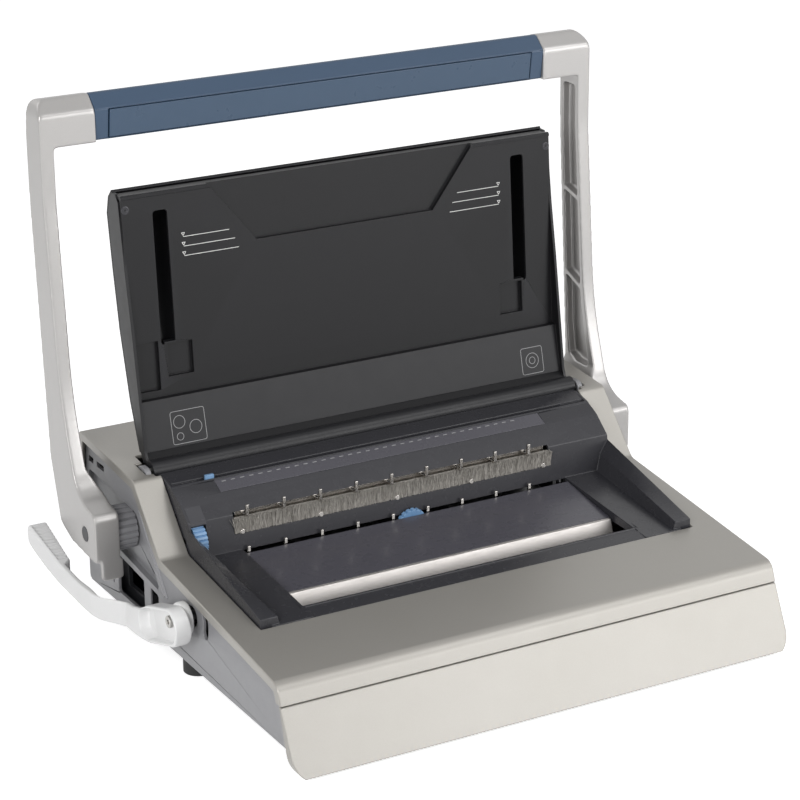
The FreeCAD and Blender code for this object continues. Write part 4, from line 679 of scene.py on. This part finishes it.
def bristles():
    """Each bristle is a three-sided prism that narrows from the slot's lower edge to a ragged
    height. Its foot, height and lean are drawn at random."""
    draw = np.random.default_rng(7)
    foot = np.stack([draw.uniform(*ROOT_X, BRISTLES), draw.uniform(*ROOT_Y, BRISTLES),
                     draw.uniform(*ROOT_Z, BRISTLES)], axis=-1)
    lean = np.stack([draw.normal(*LEAN_X, BRISTLES), draw.uniform(*LEAN_Y, BRISTLES),
                     draw.normal(*HEIGHT, BRISTLES)], axis=-1)
    turn = draw.uniform(0, 2 * np.pi, BRISTLES)[:, None] + np.radians([0, 120, 240])
    ring = np.stack([np.cos(turn), np.sin(turn), np.zeros_like(turn)], axis=-1)
    prisms("brush_bristles", foot[:, None] + ROOT_R * ring, (foot + lean)[:, None] + TIP_R * ring,
           "chassis", "nylon_brush_pile", crease=80)


# Printed marks and small pieces. A print lies this far into its face and stands this far out.
PRINT_IN, PRINT_OUT = 0.05, 0.08
SIZE_WIDTH, PANEL_WIDTH, MARK_WIDTH = 0.55, 0.45, 0.8

# The lid's inner face: a point (y, z) of the paper's plane and of the part below the step, and
# how far each leans back over how much height, with their outward directions
LID_PAPER, LID_PAPER_LEAN = (305.5, 199.5), (12.5, 172.5)
LID_FOOT, LID_FOOT_LEAN = (291.0, 158.0), (9.5, 41.0)
LID_PAPER_OUT = (0, -0.9974, 0.0723)
LID_FOOT_OUT = (0, -0.974, 0.2257)

# Height and length of the size lines, which run inwards from this x, and the small triangle over
# each one's outer end as (x, z) to (x, z)
SIZE_X = 152
SIZE_LINES = ((331.0, 42.0), (323.0, 47.0), (315.0, 50.0))
TRIANGLE = (((1.5, 3.4), (0.0, 0.8)), ((-1.5, 3.4), (0.0, 0.8)), ((1.4, 3.2), (-1.4, 3.2)))

# Printed panels: x from and to, z from and to, and their rings as x, z, radius
PANELS = ((-178, -147, 160, 187, ((-170.5, 178, 5.2), (-171, 166, 3.0), (-156, 172, 5.5))),
          (165, 187, 160, 183, ((176, 171.5, 6.5), (176, 171.5, 3.0))))
PANEL_CORNER = 2

# Screw head at each top corner of the lid: its place, and its profile as (radius, height)
SCREW_X, SCREW_Z = 202, 360
SCREW_PROFILE = ((3.5, -0.3), (3.5, 0.25), (3.1, 0.4), (2.5, 0.4), (2.2, 0.1), (1.0, 0.1),
                 (0.7, -0.2))
SCREW_COLUMNS = 32

# Hole marks on the throat window, one for each punched hole
HOLES, HOLE_PITCH, HOLE_MIDDLE = 34, 8.467, -17.5
MARK_Y, MARK_Z, MARK_HALF = 241.0, 136.5 + 10 * 6.1 / 13, 1.9
WINDOW_OUT = (0, -0.4248, 0.9053)

# Rear wall above the edge wheel: its front line as (y, z), the way to its back line, its x span
WALL_FRONT = ((212.65, 119.5), (213.0, 122.0), (217.0, 125.3), (224.4, 131.4))
WALL_BACK = (1.6, -1.9)
WALL_X = (-201.2, -187.3)


def printed(name, starts, ends, width, normal, body, finish):
    """Printed lines: a flat bar just proud of the face from each start to its end."""
    starts, ends = np.asarray(starts, float), np.asarray(ends, float)
    normal = np.asarray(normal, float)
    along = ends - starts
    along = along / np.linalg.norm(along, axis=1, keepdims=True)
    side = np.cross(along, normal) * width / 2
    flat = np.stack([starts - side, starts + side, ends + side, ends - side], axis=1)
    prisms(name, flat - PRINT_IN * normal, flat + PRINT_OUT * normal, body, finish)


def on_lid(x, z, raised=True):
    """Points of the lid's inner face: the paper's plane, or the lower part below the step."""
    x, z = np.broadcast_arrays(np.asarray(x, float), np.asarray(z, float))
    from_y, from_z = LID_PAPER if raised else LID_FOOT
    back, up = LID_PAPER_LEAN if raised else LID_FOOT_LEAN
    return np.stack([x, from_y + (z - from_z) * back / up, z], axis=-1)


def size_lines():
    """Three paper-size lines on each side of the lid, each under a small triangle."""
    starts, ends = [], []
    for side in (-1, 1):
        for height, long in SIZE_LINES:
            for (x0, z0), (x1, z1) in (((0.0, 0.0), (-long, 0.0)), *TRIANGLE):
                starts.append(on_lid(side * (SIZE_X + x0), height + z0))
                ends.append(on_lid(side * (SIZE_X + x1), height + z1))
    printed("lid_size_lines", starts, ends, SIZE_WIDTH, LID_PAPER_OUT, "lid",
            "white_pad_print")


def pictures():
    """Plain framed rings where the lid has its two small printed panels."""
    turn = np.radians(np.arange(0, 360, 15))
    outlines = []
    for x0, x1, z0, z1, rings in PANELS:
        corner_x = np.where(np.cos(turn) > 0, x1 - PANEL_CORNER, x0 + PANEL_CORNER)
        corner_z = np.where(np.sin(turn) > 0, z1 - PANEL_CORNER, z0 + PANEL_CORNER)
        outlines.append((corner_x + PANEL_CORNER * np.cos(turn),
                         corner_z + PANEL_CORNER * np.sin(turn)))
        outlines += [(x + r * np.cos(turn), z + r * np.sin(turn)) for x, z, r in rings]
    starts = np.concatenate([on_lid(x, z, False) for x, z in outlines])
    ends = np.concatenate([on_lid(np.roll(x, -1), np.roll(z, -1), False) for x, z in outlines])
    printed("lid_panels", starts, ends, PANEL_WIDTH, LID_FOOT_OUT, "lid",
            "grey_pad_print")


def lid_screws():
    """A countersunk screw head at each top corner of the lid: a ring profile turned about the
    lid's normal, with a dished middle."""
    turn = np.linspace(0, 2 * np.pi, SCREW_COLUMNS, endpoint=False)[:, None]
    ahead = np.array(LID_PAPER_OUT)
    across = np.array([1.0, 0.0, 0.0])
    upward = np.array([0.0, ahead[2], -ahead[1]])
    ring = np.cos(turn) * across + np.sin(turn) * upward
    radius, height = np.array(SCREW_PROFILE).T[:, :, None, None]
    grids = [on_lid(side * SCREW_X, SCREW_Z) + radius * ring + height * ahead
             for side in (-1, 1)]
    skin("lid_corner_screws", grids, "lid", "smooth_dark_abs")


def hole_marks():
    """A short printed mark on the window for each punched hole."""
    x = HOLE_MIDDLE + (np.arange(HOLES) - (HOLES - 1) / 2) * HOLE_PITCH
    row = np.stack([x, np.full(HOLES, MARK_Y), np.full(HOLES, MARK_Z)], axis=-1)
    half = np.array([MARK_HALF, 0, 0])
    printed("window_hole_marks", row - half, row + half, MARK_WIDTH, WINDOW_OUT, "chassis",
            "grey_pad_print")


def wheel_slot_cover():
    """Piece of the rear wall above the edge wheel: the wall's line in section, carried along X."""
    front = np.array(WALL_FRONT)
    section = np.concatenate([front, front[::-1] + WALL_BACK])
    grid = np.stack([np.column_stack([np.full(len(section), x), section]) for x in WALL_X])
    skin("wheel_slot_cover", [grid], "chassis", "smooth_dark_abs")


closer_lever()
bristles()
size_lines()
pictures()
lid_screws()
hole_marks()
wheel_slot_cover()


# Floor, lamps and camera

FLOOR_SIZE = 30
FLOOR_BELOW = 0.0003
# What the floor adds where it is seen, on top of its own lit white, and the sky as light
FLOOR_GLOW = 0.72
SKY_LIGHT = 0.3


def seen(tree):
    """1 where the camera, a mirror or glass sees the surface, and 0 for its light on others."""
    ray = add(tree, "ShaderNodeLightPath")
    direct = add(tree, "ShaderNodeMath", None,
                 {FIRST: ray.outputs["Is Camera Ray"], SECOND: ray.outputs["Is Glossy Ray"]},
                 operation="MAXIMUM")
    shown = add(tree, "ShaderNodeMath", None,
                {FIRST: direct.outputs[0], SECOND: ray.outputs["Is Transmission Ray"]},
                operation="MAXIMUM")
    return shown.outputs[0]


def pale_floor():
    """A plane that renders white to the camera and keeps the object's soft shadow."""
    bpy.ops.mesh.primitive_plane_add(size=FLOOR_SIZE, location=(0, 0, -FLOOR_BELOW))
    plane = bpy.context.object
    plane.name = "floor"
    material = bpy.data.materials.new("pale_floor")
    material.use_nodes = True
    tree = material.node_tree
    tree.nodes.clear()
    glow = add(tree, "ShaderNodeEmission", {"Color": (1, 1, 1, 1), "Strength": FLOOR_GLOW})
    dark = add(tree, "ShaderNodeEmission", {"Color": (0, 0, 0, 1), "Strength": 0.0})
    extra = add(tree, "ShaderNodeMixShader", None,
                {FIRST: seen(tree), SECOND: dark.outputs[0], THIRD: glow.outputs[0]})
    matt = add(tree, "ShaderNodeBsdfDiffuse", {"Color": linear("F2F2F2")})
    both = add(tree, "ShaderNodeAddShader", None,
               {FIRST: matt.outputs[0], SECOND: extra.outputs[0]})
    plane.data.materials.append(close(material, tree, both.outputs[0]))


def sky():
    """Even white surroundings: full strength where seen or mirrored, weaker as light."""
    world = bpy.data.worlds.new("studio")
    bpy.context.scene.world = world
    world.use_nodes = True
    tree = world.node_tree
    tree.nodes.clear()
    level = add(tree, "ShaderNodeMapRange",
                {FROM_LOW: 0.0, FROM_HIGH: 1.0, TO_LOW: SKY_LIGHT, TO_HIGH: 1.0},
                {VALUE: seen(tree)})
    back = add(tree, "ShaderNodeBackground", {"Color": (1, 1, 1, 1)},
               {"Strength": level.outputs[0]})
    add(tree, "ShaderNodeOutputWorld", None, {"Surface": back.outputs[0]})


def lamp(name, place, target, size, watts):
    """A soft rectangular lamp that points at the target."""
    light = bpy.data.lights.new(name, "AREA")
    light.shape = "RECTANGLE"
    light.size, light.size_y = size
    light.energy = watts
    holder = bpy.data.objects.new(name, light)
    holder.location = place
    way = Vector(target) - Vector(place)
    holder.rotation_euler = way.to_track_quat("-Z", "Y").to_euler()
    bpy.context.scene.collection.objects.link(holder)


def camera():
    """The photograph's camera, from its fitted place, turn and focal length."""
    yaw, pitch, roll = (math.radians(a) for a in (CAMERA_YAW, CAMERA_PITCH, CAMERA_ROLL))
    ahead = Vector((math.sin(yaw) * math.cos(pitch), math.cos(yaw) * math.cos(pitch),
                    -math.sin(pitch)))
    across = Vector((math.cos(yaw), -math.sin(yaw), 0))
    upward = across.cross(ahead)
    right = math.cos(roll) * across + math.sin(roll) * upward
    top = -math.sin(roll) * across + math.cos(roll) * upward
    data = bpy.data.cameras.new("photo_camera")
    data.sensor_width = SENSOR
    data.lens = FOCAL
    data.clip_end = SEES_TO
    holder = bpy.data.objects.new("photo_camera", data)
    turn = Matrix((right, top, -ahead)).transposed()
    holder.matrix_world = Matrix.Translation(CAMERA_PLACE) @ turn.to_4x4()
    bpy.context.scene.collection.objects.link(holder)
    bpy.context.scene.camera = holder


pale_floor()
sky()
lamp("key", place=(1.5, -2.2, 0.85), target=(0, -0.1, 0.1), size=(1.9, 1.0), watts=25)
lamp("fill", place=(-2.0, -1.5, 1.2), target=(0, 0, 0.15), size=(1.2, 1.2), watts=36)
lamp("cheeks", place=(1.05, -1.1, 1.75), target=(0, 0.05, 0.1), size=(0.9, 0.9), watts=9)
lamp("rim", place=(-1.1, 1.7, 1.7), target=(0, 0.1, 0.2), size=(1.2, 0.8), watts=4)
camera()
bpy.context.scene.view_settings.view_transform = "Standard"
